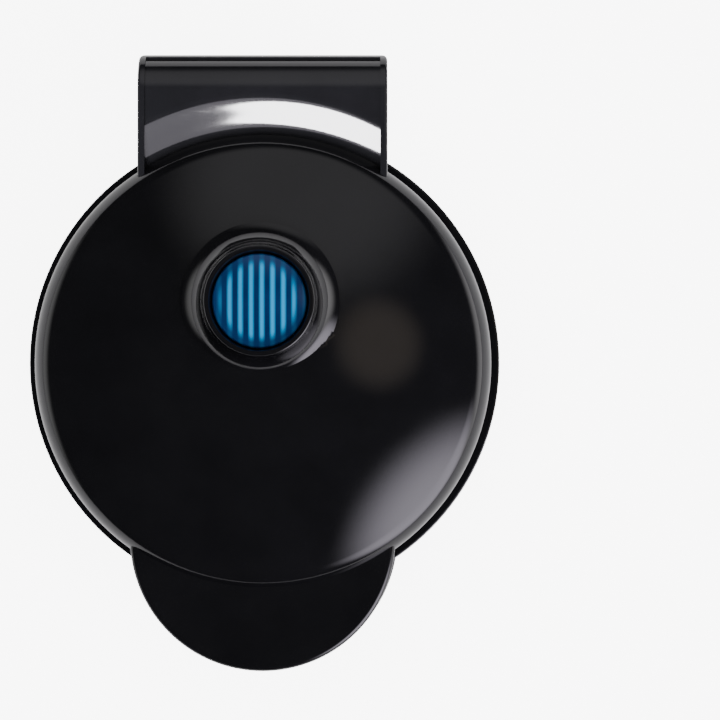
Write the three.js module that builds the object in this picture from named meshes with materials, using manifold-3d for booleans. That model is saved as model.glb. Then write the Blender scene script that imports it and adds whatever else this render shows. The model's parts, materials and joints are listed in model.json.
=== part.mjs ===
// Mini round waffle maker with heart-shaped cooking plates, closed.
// Millimetres, +Z up. The origin is under the middle of the body, on the table.
// The handle points to -Y and the hinge is at +Y. The lid turns about a line along X.
import * as THREE from "three";
import { mergeVertices } from "three/addons/utils/BufferGeometryUtils.js";
import Module from "manifold-3d";

const wasm = await Module();
wasm.setup();

// ---- driving dimensions ----
const baseRadius = 63.5;
const handleReach = 19; // the handle and the hinge stand out this far from the body
const reach = baseRadius + handleReach;
const footHeight = 3;
const seamHeight = 32; // top edge of the base
const seamGap = 1.2;
const lidInset = 2.7; // the lid is this much smaller in radius than the base
const lidWallHeight = 8.3; // upright part of the lid's side
const shoulderRadius = 9;
const domeSlope = THREE.MathUtils.degToRad(25); // where the shoulder meets the dome
const bottomEdgeRadius = 18;
const wall = 2.2;
const gap = 0.3; // between pieces that touch
const runningGap = 0.4; // between the lid's barrel and its cradle
const bite = 0.5; // pieces that are joined run this far into each other
const past = 10; // cutters run at least this far past what they cut
const webThickness = 2; // straight walls inside the shells

const lowerHandleRadius = 36;
const handleInset = 0.8; // the upper handle is this much smaller
const upperHandleTop = seamHeight + 14.5;
const lowerHandleTipBottom = seamHeight - 10;
const lowerHandleRootBottom = seamHeight - 20;
const upperHandleTipBottom = seamHeight + 8;
const handleEdge = 1.6;
const handlePosts = [-15, 15]; // the posts that the handle covers rest on
const handlePostY = -(baseRadius + reach) / 2 + 3; // in the part of the handle that stands free
const lowerPostRadius = 2.2;
const upperPostRadius = 2;

const hingeHalfWidth = 33.1;
const hingeCorner = 2;
const barrelRadius = 10;
const hingeHeight = seamHeight + 5;
const barrelEdgeAngle = -48; // lower edge of the barrel's shell, degrees from +Y
const panelInset = 1.9; // width of the rails beside the hood's sunken panel
const panelDrop = 2.2;
const pinRadius = 2;
const pinClearance = 0.2;
const hubRadius = 4.6;
const armInner = 22;
const armThickness = 5.6;
const sideClearance = 0.6;
const saddleBack = -58; // the saddle's two edges, degrees from +Y
const saddleFront = -147;
const ribThickness = 3;
const ribHub = 5;
const blockToe = 4.5; // the hinge block's back wall leans in by this much at the bottom
const blockHeel = 2.5; // and by this much above the toe
const blockStep = 2;
const panelGive = 0.2; // the sunken panel is this much lower at the dome
const panelThin = 0.7; // and this much under the rails over the barrel
const panelEnd = 27; // degrees from +Y, where the panel runs out
const barrelWall = 2.4;
const saddlePlate = 2;
const saddleScrewX = 17;
const saddlePostRadius = 4.4;
const saddleWellRadius = 3.3;
const saddleScrewRoom = 1.7;
const saddleBossHeight = 2.6;
const armDepth = 3; // the saddle's posts and beams
const armInset = 1.1;
const armAbove = 1.6; // from the hinge line to the beams' top
const armBelow = 3.2;
const wirePassage = { half: 12, low: 9, high: 20 };
const lidPassageHalf = 9;

const lensY = 16;
const lensRadius = 12.1;
const lensHoleRadius = 12.4;
const collarLipRadius = 14.3;
const collarFootRadius = 20.5;
const collarTop = seamHeight + 38;
const lensFlangeRadius = 17.4;
const lensThickness = 1.2;
const lampRadius = 2.8;
const collarFootDrop = 9.6; // from the collar's top to the start of its flare
const collarBendDrop = 7;
const collarBendOut = 1.2;
const collarChamfer = [0.5, 0.8];
const collarInnerLip = 1.3;
const collarLipDepth = 1.8;
const padThickness = 4;
const lensApexDrop = 0.8;
const lensEdgeDrop = 2.2;
const fluteRows = [-2, -1, 0, 1, 2];
const flutePitch = 3.6;
const fluteHalfWidth = 0.6;
const lampScrewX = 15;
const lampRise = 6.5; // straight part of the lamp

const plateRadius = 51;
const plateRimThickness = 3;
const plateFlange = 1.5;
const plateProud = 0.4; // the plate stands above its ring
const recessDepth = 7.5;
const panWall = 2.2;
const panFloor = 2.5;
const heartLobeRadius = 28.8;
const heartLobeX = 18.2;
const heartLobeY = 5.3;
const heartTipY = -47.7;
const pegPitch = 14.6;
const pegRoot = 9.7;
const pegTip = 8.2;
const pegHeight = 4.5;
const pegRimGap = 4.5;
const pegKeep = 2;
const pegGridY = -6.8;

const ringThickness = 2.2;
const screwInset = 3; // ring screws stand this far inside the shell's wall
const bossRadius = 2.7;
const screwHeadRadius = 2;
const screwHeadHeight = 0.9;
const screwShankRadius = 1;
const screwHoleRadius = 1.25;
const screwLength = 10;
const ringScrewAngles = [35, 145, 215, 325];
const ribAngles = [0, 60, 120, 180, 240, 300];
const ribReach = 0.5; // ribs run this far in under the plate's edge

const elementRingRadius = 33;
const elementTubeRadius = 2.75;
const elementEndX = 8;
const lowerElementTail = 17.1 - recessDepth; // ends at the same height over the floor
const upperElementTail = 5.8;
const shieldThickness = 0.8;
const shieldDepth = recessDepth + 2.8;
const shieldFloorRadius = 42;
const shieldRimRadius = 48.5;
const shieldHole = 16;

const coverRadius = 33.7;
const coverThickness = 1.6;
const coverScrewRadius = 30.6;
const coverBossRadius = 4.6;
const coverScrewAngles = [30, 150, 270];
const ventLength = 16;
const ventWidth = 2;
const ventPitch = 5;
const footRadius = 5;
const frontFoot = [28.3, -28.3];
const rearFoot = [24, 70];
const glandHeight = 12;
const glandFlangeRadius = 6.5;
const glandNeckRadius = 4.8;
const glandBore = 3.3;
const glandNutRadius = 6.6;
const glandNutDepth = 3;
const glandSunk = 2.6; // depth of the seat that the gland's flange sits in
const footStem = 1.9;
const footBarb = 0.9;
const thermostatEar = 11.5;
const thermostatCapHeight = 5;
const thermostatCap = 7;
const thermostatBody = 7.5;
const earThickness = 0.9;
const studRadius = 2.6;
const fuseY = -18;
const fuse = { radius: 2.2, half: 9, leadRadius: 0.7, leadHalf: 13 };
const terminal = { y: 41, half: 9, depth: 4.2, height: 7, poleX: 4, mouth: 2.4 };
const wireRadius = 0.9;

const roundSides = 32; // facets round the large circles
const smallSides = 16;

// ---- worked out from them ----
const lidRadius = baseRadius - lidInset;
const lidRim = seamHeight + seamGap;
const lidWallTop = lidRim + lidWallHeight;
const handleCentre = -(reach - lowerHandleRadius);
const upperHandleRadius = lowerHandleRadius - handleInset;
const hingeY = reach - barrelRadius;
const cradleRadius = barrelRadius + runningGap;
const parting = seamHeight + seamGap / 2; // mirror plane between the two cooking plates
const plateFace = seamHeight + plateProud - parting; // lower plate's face, from that plane
const flangeTop = plateFace - plateRimThickness;
const flangeBottom = flangeTop - plateRimThickness;
const panBottom = plateFace - recessDepth - panFloor;
const shieldTop = flangeBottom - gap;
const ribTop = shieldTop - shieldThickness - gap;
const elementLevel = panBottom - gap - elementTubeRadius;
const elementEndY = Math.sqrt(elementRingRadius ** 2 - elementEndX ** 2);
const heartHalfAngle = Math.atan2(heartLobeX, heartLobeY - heartTipY)
  + Math.asin(heartLobeRadius / Math.hypot(heartLobeX, heartLobeY - heartTipY));

// ---- materials ----
const paint = (color, roughness, metalness) =>
  new THREE.MeshStandardMaterial({ color, roughness, metalness });
const glossBlack = paint(0x0b0b0d, 0.18, 0);
const mattBlack = paint(0x1a1a1b, 0.6, 0);
const nonStick = paint(0x2c2b2b, 0.45, 0.3);
const blueLens = paint(0x0f6fb4, 0.1, 0);
const steel = paint(0xb4b6b8, 0.3, 0.9);
const galvanised = paint(0x9da2a6, 0.45, 0.8);
const rubber = paint(0x202020, 0.9, 0);
const whiteInsulator = paint(0xe8e4da, 0.6, 0);
const lampGlass = paint(0xe6a06a, 0.1, 0);
const redSleeve = paint(0xa33a2c, 0.7, 0);
const blueSleeve = paint(0x2d4c8a, 0.7, 0);
const bakelite = paint(0x3a2218, 0.4, 0);

// ---- solids and cuts ----
function solid(geometry) {
  const bare = geometry.clone();
  bare.deleteAttribute("normal");
  bare.deleteAttribute("uv");
  const merged = mergeVertices(bare, 1e-4);
  const points = merged.getAttribute("position");
  const corners = merged.index.array;
  const kept = [];
  const [a, b, c] = [0, 1, 2].map(() => new THREE.Vector3());
  let volume = 0;
  for (let i = 0; i < corners.length; i += 3) {
    const [p, q, r] = [corners[i], corners[i + 1], corners[i + 2]];
    if (p === q || q === r || r === p) continue;
    a.fromBufferAttribute(points, p);
    b.fromBufferAttribute(points, q);
    c.fromBufferAttribute(points, r);
    volume += a.dot(b.cross(c));
    kept.push(p, q, r);
  }
  if (volume < 0) kept.reverse();
  return new wasm.Manifold(new wasm.Mesh({
    numProp: 3,
    vertProperties: new Float32Array(points.array),
    triVerts: new Uint32Array(kept),
  }));
}

function node(name, body, material, position = [0, 0, 0]) {
  const cut = body.getMesh();
  const geometry = new THREE.BufferGeometry();
  geometry.setAttribute("position", new THREE.BufferAttribute(cut.vertProperties, 3));
  geometry.setIndex(new THREE.BufferAttribute(cut.triVerts, 1));
  geometry.computeVertexNormals();
  const mesh = new THREE.Mesh(geometry, material);
  mesh.name = name;
  mesh.position.set(...position);
  return mesh;
}

const joined = (bodies) => bodies.reduce((sum, body) => sum.add(body));
const cutFrom = (body, cutters) => cutters.reduce((rest, cutter) => rest.subtract(cutter), body);

function outline(points) {
  const shape = new THREE.Shape();
  shape.moveTo(...points[0]);
  points.slice(1).forEach((point) => shape.lineTo(...point));
  return shape;
}

// An arc that starts the outline's first curve needs its own line from the start point.
function lineThenArc(shape, x, y, radius, from, to) {
  shape.lineTo(x + radius * Math.cos(from), y + radius * Math.sin(from));
  shape.absarc(x, y, radius, from, to);
}

// A closed outline in (radius, height), turned about Z.
function turned(shape, segments = roundSides, steps = 4) {
  const points = shape.getPoints(steps);
  if (points[0].x > 0) points.push(points[0].clone());
  return solid(new THREE.LatheGeometry(points, segments).rotateX(Math.PI / 2));
}

function block(x0, x1, y0, y1, z0, z1) {
  const box = new THREE.BoxGeometry(x1 - x0, y1 - y0, z1 - z0);
  return solid(box.translate((x0 + x1) / 2, (y0 + y1) / 2, (z0 + z1) / 2));
}

function rod(radius, z0, z1, x = 0, y = 0, sides = 9) {
  const cylinder = new THREE.CylinderGeometry(radius, radius, z1 - z0, sides);
  return solid(cylinder.rotateX(Math.PI / 2).translate(x, y, (z0 + z1) / 2));
}

function rodAlongX(radius, x0, x1, y, z, sides = 12) {
  const cylinder = new THREE.CylinderGeometry(radius, radius, x1 - x0, sides);
  return solid(cylinder.rotateZ(Math.PI / 2).translate((x0 + x1) / 2, y, z));
}

function rodAlongY(radius, y0, y1, x, z, sides = 12) {
  const cylinder = new THREE.CylinderGeometry(radius, radius, y1 - y0, sides);
  return solid(cylinder.translate(x, (y0 + y1) / 2, z));
}

function prism(shape, z0, z1, curveSegments = 12) {
  const options = { depth: z1 - z0, bevelEnabled: false, curveSegments };
  return solid(new THREE.ExtrudeGeometry(shape, options).translate(0, 0, z0));
}

// An outline in (Y, Z), carried along X.
function prismAlongX(shape, x0, x1, curveSegments = 12) {
  const options = { depth: x1 - x0, bevelEnabled: false, curveSegments };
  const turn = new THREE.Matrix4().makeBasis(
    new THREE.Vector3(0, 1, 0), new THREE.Vector3(0, 0, 1), new THREE.Vector3(1, 0, 0));
  return solid(new THREE.ExtrudeGeometry(shape, options).applyMatrix4(turn).translate(x0, 0, 0));
}

function tube(points, radius, steps, sides = 8, tension = 0.5) {
  const route = points.map((point) => new THREE.Vector3(...point));
  const path = new THREE.CatmullRomCurve3(route, false, "catmullrom", tension);
  const section = new THREE.Shape();
  for (let i = 0; i < sides; i += 1) {
    const angle = (i / sides) * 2 * Math.PI;
    const corner = [radius * Math.cos(angle), radius * Math.sin(angle)];
    if (i === 0) section.moveTo(...corner);
    else section.lineTo(...corner);
  }
  return solid(new THREE.ExtrudeGeometry(section, { steps, extrudePath: path, bevelEnabled: false }));
}

const around = (radius, degrees) => {
  const angle = THREE.MathUtils.degToRad(degrees);
  return [radius * Math.cos(angle), radius * Math.sin(angle)];
};

const onBarrel = (radius, degrees) => {
  const [y, z] = around(radius, degrees);
  return [hingeY + y, hingeHeight + z];
};

const radians = THREE.MathUtils.degToRad;

// A straight wall along a radius, from inner to outer.
function radialWall(inner, outer, z0, z1, degrees, thickness) {
  const box = new THREE.BoxGeometry(outer - inner, thickness, z1 - z0);
  box.translate((inner + outer) / 2, 0, (z0 + z1) / 2).rotateZ(radians(degrees));
  return solid(box);
}

function roundedPlan(halfWidth, y0, y1, corner) {
  const plan = new THREE.Shape();
  plan.moveTo(-halfWidth, y0);
  plan.lineTo(halfWidth, y0);
  plan.lineTo(halfWidth, y1 - corner);
  plan.absarc(halfWidth - corner, y1 - corner, corner, 0, Math.PI / 2);
  plan.lineTo(-halfWidth + corner, y1);
  plan.absarc(-halfWidth + corner, y1 - corner, corner, Math.PI / 2, Math.PI);
  return plan;
}

// ---- the base ----
function bowl(offset, top) {
  const radius = baseRadius - offset;
  const edge = bottomEdgeRadius - offset;
  const centre = baseRadius - bottomEdgeRadius;
  const profile = new THREE.Shape();
  profile.moveTo(0, footHeight + offset);
  lineThenArc(profile, centre, footHeight + bottomEdgeRadius, edge, -Math.PI / 2, 0);
  profile.lineTo(radius, top);
  profile.lineTo(0, top);
  return turned(profile, roundSides, 4);
}

function hingeBlock(offset) {
  const bottom = footHeight + offset;
  const shape = outline([
    [baseRadius / 2, bottom],
    [reach - blockToe - offset, bottom],
    [reach - blockHeel - offset, bottom + blockStep],
    [reach - offset, hingeHeight - barrelRadius + blockStep],
    [hingeY - blockStep, hingeHeight - barrelRadius + blockStep],
    [hingeY - blockStep, seamHeight],
    [baseRadius / 2, seamHeight],
  ]);
  const half = hingeHalfWidth - offset;
  const plan = roundedPlan(half, baseRadius / 2, reach - offset, hingeCorner);
  return prismAlongX(shape, -half, half).intersect(prism(plan, 0, seamHeight + 1, 3));
}

// Everything under the sloping underside of the lower handle, raised by an offset.
function underLowerHandle(offset) {
  return prismAlongX(outline([
    [-reach - past, -past],
    [0, -past],
    [0, lowerHandleRootBottom + offset],
    [-baseRadius + bottomEdgeRadius, lowerHandleRootBottom + offset],
    [-reach, lowerHandleTipBottom + offset],
    [-reach - past, lowerHandleTipBottom + offset],
  ]), -2 * baseRadius, 2 * baseRadius);
}

function ringBosses(innerWall, z0, z1) {
  return ringScrewAngles.map((degrees) => {
    const [x, y] = around(innerWall - screwInset, degrees);
    const web = radialWall(innerWall - screwInset, innerWall + bite, z0, z1, degrees, webThickness);
    return rod(bossRadius, z0, z1, x, y).add(web);
  });
}

function ringScrewHoles(innerWall, z0, z1, radius) {
  return ringScrewAngles.map((degrees) => {
    const [x, y] = around(innerWall - screwInset, degrees);
    return rod(radius, z0, z1, x, y);
  });
}

const baseInnerWall = baseRadius - wall;
const lidInnerWall = lidRadius - wall;
const coverTop = footHeight + coverThickness;
const feet = [
  ["front_left_foot", -frontFoot[0], frontFoot[1]],
  ["front_right_foot", frontFoot[0], frontFoot[1]],
  ["rear_left_foot", -rearFoot[0], rearFoot[1]],
  ["rear_right_foot", rearFoot[0], rearFoot[1]],
];
const saddlePostTop = hingeHeight - cradleRadius - wall - saddleBossHeight;
const gland = { seat: reach - glandSunk, hole: glandNeckRadius + gap };

function baseShell() {
  const outerBowl = bowl(0, seamHeight);
  const cradle = rodAlongX(cradleRadius, -2 * baseRadius, 2 * baseRadius, hingeY, hingeHeight, 28);
  const handle = rod(lowerHandleRadius, 0, seamHeight, 0, handleCentre, roundSides)
    .subtract(underLowerHandle(0));
  const pocket = rod(lowerHandleRadius - wall, 0, seamHeight + 1, 0, handleCentre, roundSides)
    .subtract(underLowerHandle(wall)).subtract(bowl(0, seamHeight + 2));
  const blockRoom = hingeBlock(wall)
    .add(block(-hingeHalfWidth + wall, hingeHalfWidth - wall, hingeY - barrelRadius - 4,
      hingeY + barrelRadius - 2, seamHeight - 9, seamHeight + 2))
    .subtract(bowl(0, seamHeight + 3));
  const posts = handlePosts.map((x) =>
    rod(lowerPostRadius, lowerHandleRootBottom, seamHeight - ringThickness - gap, x, handlePostY)
      .subtract(underLowerHandle(wall / 2)));
  const saddlePosts = [-1, 1].map((side) =>
    rod(saddlePostRadius, footHeight + 1, saddlePostTop - gap, side * saddleScrewX, hingeY));
  const lugs = coverScrewAngles.map((degrees) => {
    const [x, y] = around(coverScrewRadius, degrees);
    return rod(coverBossRadius, coverTop + gap, coverTop + 8, x, y);
  });
  const ribs = ribAngles.map((degrees) => radialWall(
    plateRadius - ribReach, baseInnerWall + bite, footHeight + bottomEdgeRadius - 5,
    parting + ribTop, degrees, webThickness));
  const walls = cutFrom(joined([outerBowl, handle, hingeBlock(0).subtract(cradle)]), [
    bowl(wall, seamHeight + 1),
    pocket,
    blockRoom,
    rod(coverRadius + gap, 0, footHeight + wall + 1, 0, 0, roundSides),
  ]);
  const filled = joined([walls, ...posts, ...saddlePosts, ...lugs, ...ribs,
    ...ringBosses(baseInnerWall, footHeight + 12, seamHeight - ringThickness - gap)]);
  return cutFrom(filled, [
    ...ringScrewHoles(baseInnerWall, seamHeight - screwLength - 3, seamHeight, screwHoleRadius),
    ...coverScrewAngles.map((degrees) => {
      const [x, y] = around(coverScrewRadius, degrees);
      return rod(screwHoleRadius + 0.2, coverTop, coverTop + 7, x, y);
    }),
    ...feet.map(([, x, y]) => rod(footStem + gap, 0, footHeight + wall + 1, x, y)),
    ...[-1, 1].flatMap((side) => [
      rod(saddleWellRadius, 0, saddlePostTop - 4, side * saddleScrewX, hingeY, 16),
      rod(saddleScrewRoom, 0, saddlePostTop + 1, side * saddleScrewX, hingeY),
    ]),
    block(-wirePassage.half, wirePassage.half, baseRadius - bottomEdgeRadius,
      baseRadius + past / 2, wirePassage.low, wirePassage.high),
    rodAlongY(gland.hole, reach - past, reach + past, 0, glandHeight),
    rodAlongY(glandFlangeRadius + 0.5, gland.seat, reach + past, 0, glandHeight),
  ]);
}

function lowerHandleCover() {
  const top = seamHeight;
  return rod(lowerHandleRadius - wall - gap, top - ringThickness, top, 0, handleCentre, roundSides)
    .subtract(rod(baseRadius + gap, 0, seamHeight + 2, 0, 0, roundSides));
}

// The lid and base rings: face at z = 0, body below, screw heads sunk into the face.
function trimRing(innerWall) {
  const shape = outline([
    [plateRadius + gap, -ringThickness],
    [innerWall - gap, -ringThickness],
    [innerWall - gap, 0],
    [plateRadius + gap, 0],
  ]);
  return cutFrom(turned(shape), [
    ...ringScrewHoles(innerWall, -ringThickness - 1, 1, screwHoleRadius + 0.1),
    ...ringScrewHoles(innerWall, -screwHeadHeight - gap, 1, screwHeadRadius + gap),
  ]);
}

function screw(headRadius, headHeight, shankRadius, length) {
  const head = rod(headRadius, -headHeight, 0, 0, 0, 8);
  return head.add(rod(shankRadius, -headHeight - length, -headHeight + 0.1, 0, 0, 6));
}

function bottomCover() {
  const plate = rod(coverRadius, footHeight, coverTop, 0, 0, roundSides);
  const vents = [-2, -1, 0, 1, 2].flatMap((row) => [-1, 1].map((side) => {
    const y = row * ventPitch;
    const x = side * (ventLength / 2 + 2);
    return block(x - ventLength / 2, x + ventLength / 2, y - ventWidth / 2, y + ventWidth / 2,
      footHeight - 1, coverTop + 1);
  }));
  return cutFrom(plate, [...vents, ...coverScrewAngles.map((degrees) => {
    const [x, y] = around(coverScrewRadius, degrees);
    return rod(screwHoleRadius + 0.4, 0, coverTop + 1, x, y);
  })]);
}

function foot() {
  const stemTop = footHeight + wall + 2;
  const head = footHeight - gap;
  const shape = outline([
    [0, 0], [footRadius - 0.6, 0], [footRadius, 0.6], [footRadius, head], [footStem, head],
    [footStem, footHeight + wall + gap], [footStem + footBarb, footHeight + wall + gap],
    [footStem - 0.4, stemTop], [0, stemTop],
  ]);
  return turned(shape, 12);
}

function hingeSaddle() {
  const arms = [-1, 1].map((side) => {
    const [x0, x1] = [armInner, armInner + armThickness].map((x) => side * x).sort((a, b) => a - b);
    const hub = rodAlongX(hubRadius, x0, x1, hingeY, hingeHeight, 16);
    const back = hingeY - cradleRadius + armInset;
    const front = back - armDepth;
    const top = hingeHeight + armAbove;
    const post = block(x0, x1, front, back, hingeHeight - cradleRadius - wall, top);
    const beam = block(x0, x1, front, hingeY, hingeHeight - armBelow, top);
    return joined([hub, post, beam]);
  });
  const shape = new THREE.Shape();
  const outer = cradleRadius + saddlePlate;
  shape.absarc(hingeY, hingeHeight, outer, radians(saddleBack), radians(saddleFront), true);
  shape.absarc(hingeY, hingeHeight, cradleRadius, radians(saddleFront), radians(saddleBack), false);
  const half = hingeHalfWidth - wall - gap;
  const bosses = [-1, 1].map((side) =>
    rod(saddlePostRadius, saddlePostTop, hingeHeight - cradleRadius - 1, side * saddleScrewX, hingeY));
  const plate = prismAlongX(shape, -half, half, 10);
  return cutFrom(joined([plate, ...arms, ...bosses]), [
    ...bosses.map((_, i) => rod(screwHoleRadius + 0.1, saddlePostTop - 1,
      hingeHeight - cradleRadius - saddlePlate + 0.4, (2 * i - 1) * saddleScrewX, hingeY)),
    rodAlongX(pinRadius + pinClearance / 2, -hingeHalfWidth, hingeHalfWidth, hingeY, hingeHeight),
    rod(baseRadius + gap, 0, seamHeight + 0.5, 0, 0, roundSides),
    block(-6, 6, hingeY - 4, hingeY + 4, 10, hingeHeight),
  ]);
}

function hingePin() {
  const start = armInner - sideClearance - ribThickness + 0.4;
  return rodAlongX(pinRadius, start, hingeHalfWidth - 1.7, 0, 0, 12);
}

// Heart outline, with its tip towards the handle, grown outwards by an offset.
function heart(offset) {
  const radius = heartLobeRadius + offset;
  const tip = heartTipY - offset / Math.sin(heartHalfAngle);
  const notch = Math.acos(heartLobeX / radius);
  const shape = new THREE.Shape();
  shape.moveTo(0, tip);
  lineThenArc(shape, heartLobeX, heartLobeY, radius, -heartHalfAngle, Math.PI - notch);
  shape.absarc(-heartLobeX, heartLobeY, radius, notch, Math.PI + heartHalfAngle);
  return shape;
}

function insideHeart(x, y, margin) {
  const side = Math.abs(x);
  const up = y - heartTipY;
  const along = side * Math.sin(heartHalfAngle) + up * Math.cos(heartHalfAngle);
  const fromEdge = up * Math.sin(heartHalfAngle) - side * Math.cos(heartHalfAngle);
  const tangent = Math.hypot(heartLobeX, heartLobeY - heartTipY);
  const straight = Math.sqrt(tangent ** 2 - heartLobeRadius ** 2);
  const inLobe = Math.hypot(side - heartLobeX, y - heartLobeY) < heartLobeRadius - margin;
  return inLobe || (fromEdge > margin && along < straight);
}

function pegs(floor) {
  const half = [0.5, 1.5, 2.5].flatMap((step) => [-step * pegPitch, step * pegPitch]);
  const places = half.flatMap((x) => half.map((y) => [x, y + pegGridY]));
  const kept = places.filter(([x, y]) => insideHeart(x, y, pegKeep));
  const peg = ([x, y]) => {
    const length = pegHeight + 1;
    const root = pegRoot + (pegRoot - pegTip) / pegHeight;
    const cone = new THREE.CylinderGeometry(pegTip * Math.SQRT1_2, root * Math.SQRT1_2, length, 4, 1);
    cone.rotateY(Math.PI / 4).rotateX(Math.PI / 2);
    return solid(cone.translate(x, y, floor - 1 + length / 2));
  };
  return joined(kept.map(peg)).intersect(prism(heart(-pegRimGap), floor - 2, floor + pegHeight + 1, 4));
}

const thermostatTabs = footHeight + 5.1; // the tabs' lower ends

// Plate in its own frame: the parting plane is z = 0 and the body is below it.
function cookingPlate(bosses) {
  const rim = outline([
    [0, flangeTop],
    [plateRadius - 1.8, flangeTop],
    [plateRadius - 1.8, flangeBottom],
    [plateRadius + plateFlange, flangeBottom],
    [plateRadius + plateFlange, flangeTop],
    [plateRadius, flangeTop],
    [plateRadius, plateFace],
    [0, plateFace],
  ]);
  const floor = plateFace - recessDepth;
  const pan = prism(heart(panWall), panBottom, plateFace - 1, 7);
  const recess = prism(heart(0), floor, plateFace + 1, 7);
  const studs = bosses ? [-1, 1].map((side) =>
    rod(studRadius, panBottom - thermostatCapHeight + gap, panBottom + 1,
      side * thermostatEar, 0)) : [];
  const holes = bosses ? [-1, 1].map((side) =>
    rod(screwHoleRadius, panBottom - thermostatCapHeight - 1, panBottom - 1,
      side * thermostatEar, 0)) : [];
  const cast = joined([turned(rim), pan, ...studs]).subtract(recess);
  return cutFrom(cast.add(pegs(floor)), holes);
}

// A sheathed ring with its two ends bent down behind the notch of the heart.
function heatingElement(tail) {
  const bend = 24; // degrees of the ring kept free on each side for the bends
  const steps = 16;
  const low = elementLevel - tail;
  const points = [[elementEndX, elementEndY, low], [elementEndX, elementEndY, elementLevel - 4.5]];
  for (let i = 0; i <= steps; i += 1) {
    const degrees = 90 - bend - ((360 - 2 * bend) * i) / steps;
    points.push([...around(elementRingRadius, degrees), elementLevel]);
  }
  points.push([-elementEndX, elementEndY, elementLevel - 4.5], [-elementEndX, elementEndY, low]);
  return tube(points, elementTubeRadius, 32, 6);
}

function heatShield() {
  const top = shieldTop;
  const bottom = top - shieldThickness - shieldDepth;
  const t = shieldThickness;
  const shape = outline([
    [shieldHole, bottom],
    [shieldFloorRadius, bottom],
    [shieldRimRadius + t, top - t - 1],
    [shieldRimRadius + t, top - t],
    [plateRadius + plateFlange, top - t],
    [plateRadius + plateFlange, top],
    [shieldRimRadius, top],
    [shieldRimRadius, top - t - 1],
    [shieldFloorRadius - 0.4, bottom + t],
    [shieldHole, bottom + t],
  ]);
  const holes = [-1, 1].map((side) => rod(elementTubeRadius + 2.6, bottom - 1, bottom + 2,
    side * elementEndX, elementEndY));
  const panRoom = prism(heart(panWall + gap), panBottom - gap, 0, 7);
  return cutFrom(turned(shape), [...holes, panRoom]);
}

function thermostat() {
  const ear = panBottom - thermostatCapHeight - gap;
  const cap = rod(thermostatCap, ear - bite, panBottom - gap, 0, 0, 16);
  const flange = block(-thermostatEar - 3, thermostatEar + 3, -4, 4, ear - earThickness, ear);
  const body = rod(thermostatBody, ear - 6, ear - bite, 0, 0, 16);
  const tabs = [-1, 1].map((side) =>
    block(side * 4 - 2, side * 4 + 2, -0.4, 0.4, thermostatTabs - parting, ear - 5));
  const holes = [-1, 1].map((side) =>
    rod(screwHoleRadius, ear - 2, ear + 1, side * thermostatEar, 0));
  return cutFrom(joined([cap, flange, body, ...tabs]), holes);
}

const fusePlace = { y: fuseY, z: parting + shieldTop - shieldThickness - shieldDepth - 3 };

function thermalFuse() {
  const { radius, half, leadRadius, leadHalf } = fuse;
  const sleeve = rodAlongX(radius, -half, half, fusePlace.y, fusePlace.z, 12);
  const leads = rodAlongX(leadRadius, -leadHalf, leadHalf, fusePlace.y, fusePlace.z, 8);
  return sleeve.add(leads);
}

const terminalFloor = footHeight + wall + gap;

function terminalBlock() {
  const { y, half, depth, height, poleX, mouth } = terminal;
  const z = terminalFloor;
  const body = block(-half, half, y - depth, y + depth, z, z + height);
  const wells = [-poleX, poleX].map((x) => rod(1.7, z + 4, z + height + 1, x, y, 8));
  const mouths = [-poleX, poleX].map((x) =>
    rodAlongY(1.5, y - depth - 1, y + depth + 1, x, z + mouth, 8));
  return cutFrom(body, [...wells, ...mouths]);
}

function cordGland() {
  const back = gland.seat + gap;
  const flange = rodAlongY(glandFlangeRadius, back, reach - 0.6, 0, glandHeight);
  const neck = rodAlongY(glandNeckRadius, reach - 10.5, back + bite, 0, glandHeight);
  const bore = rodAlongY(glandBore, reach - 12, reach + past, 0, glandHeight, 16);
  return flange.add(neck).subtract(bore);
}

function glandNut() {
  const front = reach - 9.5;
  const nut = rodAlongY(glandNutRadius, front, front + glandNutDepth, 0, glandHeight, 6);
  return nut.subtract(rodAlongY(gland.hole, front - 1, front + glandNutDepth + 1, 0, glandHeight));
}

// ---- the lid ----
function dome(offset, bottom) {
  const radius = lidRadius - offset;
  const round = shoulderRadius - offset;
  const shoulderX = lidRadius - shoulderRadius;
  const sphereRadius = (shoulderX + shoulderRadius * Math.sin(domeSlope)) / Math.sin(domeSlope);
  const sphereCentre = lidWallTop + shoulderRadius * Math.cos(domeSlope)
    - sphereRadius * Math.cos(domeSlope);
  const profile = new THREE.Shape();
  profile.moveTo(0, bottom);
  profile.lineTo(radius, bottom);
  profile.absarc(shoulderX, lidWallTop, round, 0, Math.PI / 2 - domeSlope);
  profile.absarc(0, sphereCentre, sphereRadius - offset, Math.PI / 2 - domeSlope, Math.PI / 2);
  return turned(profile, roundSides, 4);
}

function collar() {
  const shape = new THREE.Shape();
  shape.moveTo(0, lidWallTop + 10);
  shape.lineTo(collarFootRadius, lidWallTop + 10);
  shape.lineTo(collarFootRadius, collarTop - collarFootDrop);
  shape.quadraticCurveTo(collarLipRadius + collarBendOut, collarTop - collarBendDrop,
    collarLipRadius, collarTop - collarChamfer[1]);
  shape.lineTo(collarLipRadius - collarChamfer[0], collarTop);
  shape.lineTo(0, collarTop);
  return turned(shape, smallSides, 3).translate(0, lensY, 0);
}

const lensSeat = collarTop - 14.7; // underside of the pad that the lens flange meets

function collarHole() {
  const shape = outline([
    [0, lensSeat - 2],
    [lensHoleRadius, lensSeat - 2],
    [lensHoleRadius, collarTop - collarLipDepth],
    [collarLipRadius - collarInnerLip, collarTop + 0.1],
    [collarLipRadius - collarInnerLip, collarTop + 1],
    [0, collarTop + 1],
  ]);
  return turned(shape, smallSides).translate(0, lensY, 0);
}

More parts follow.
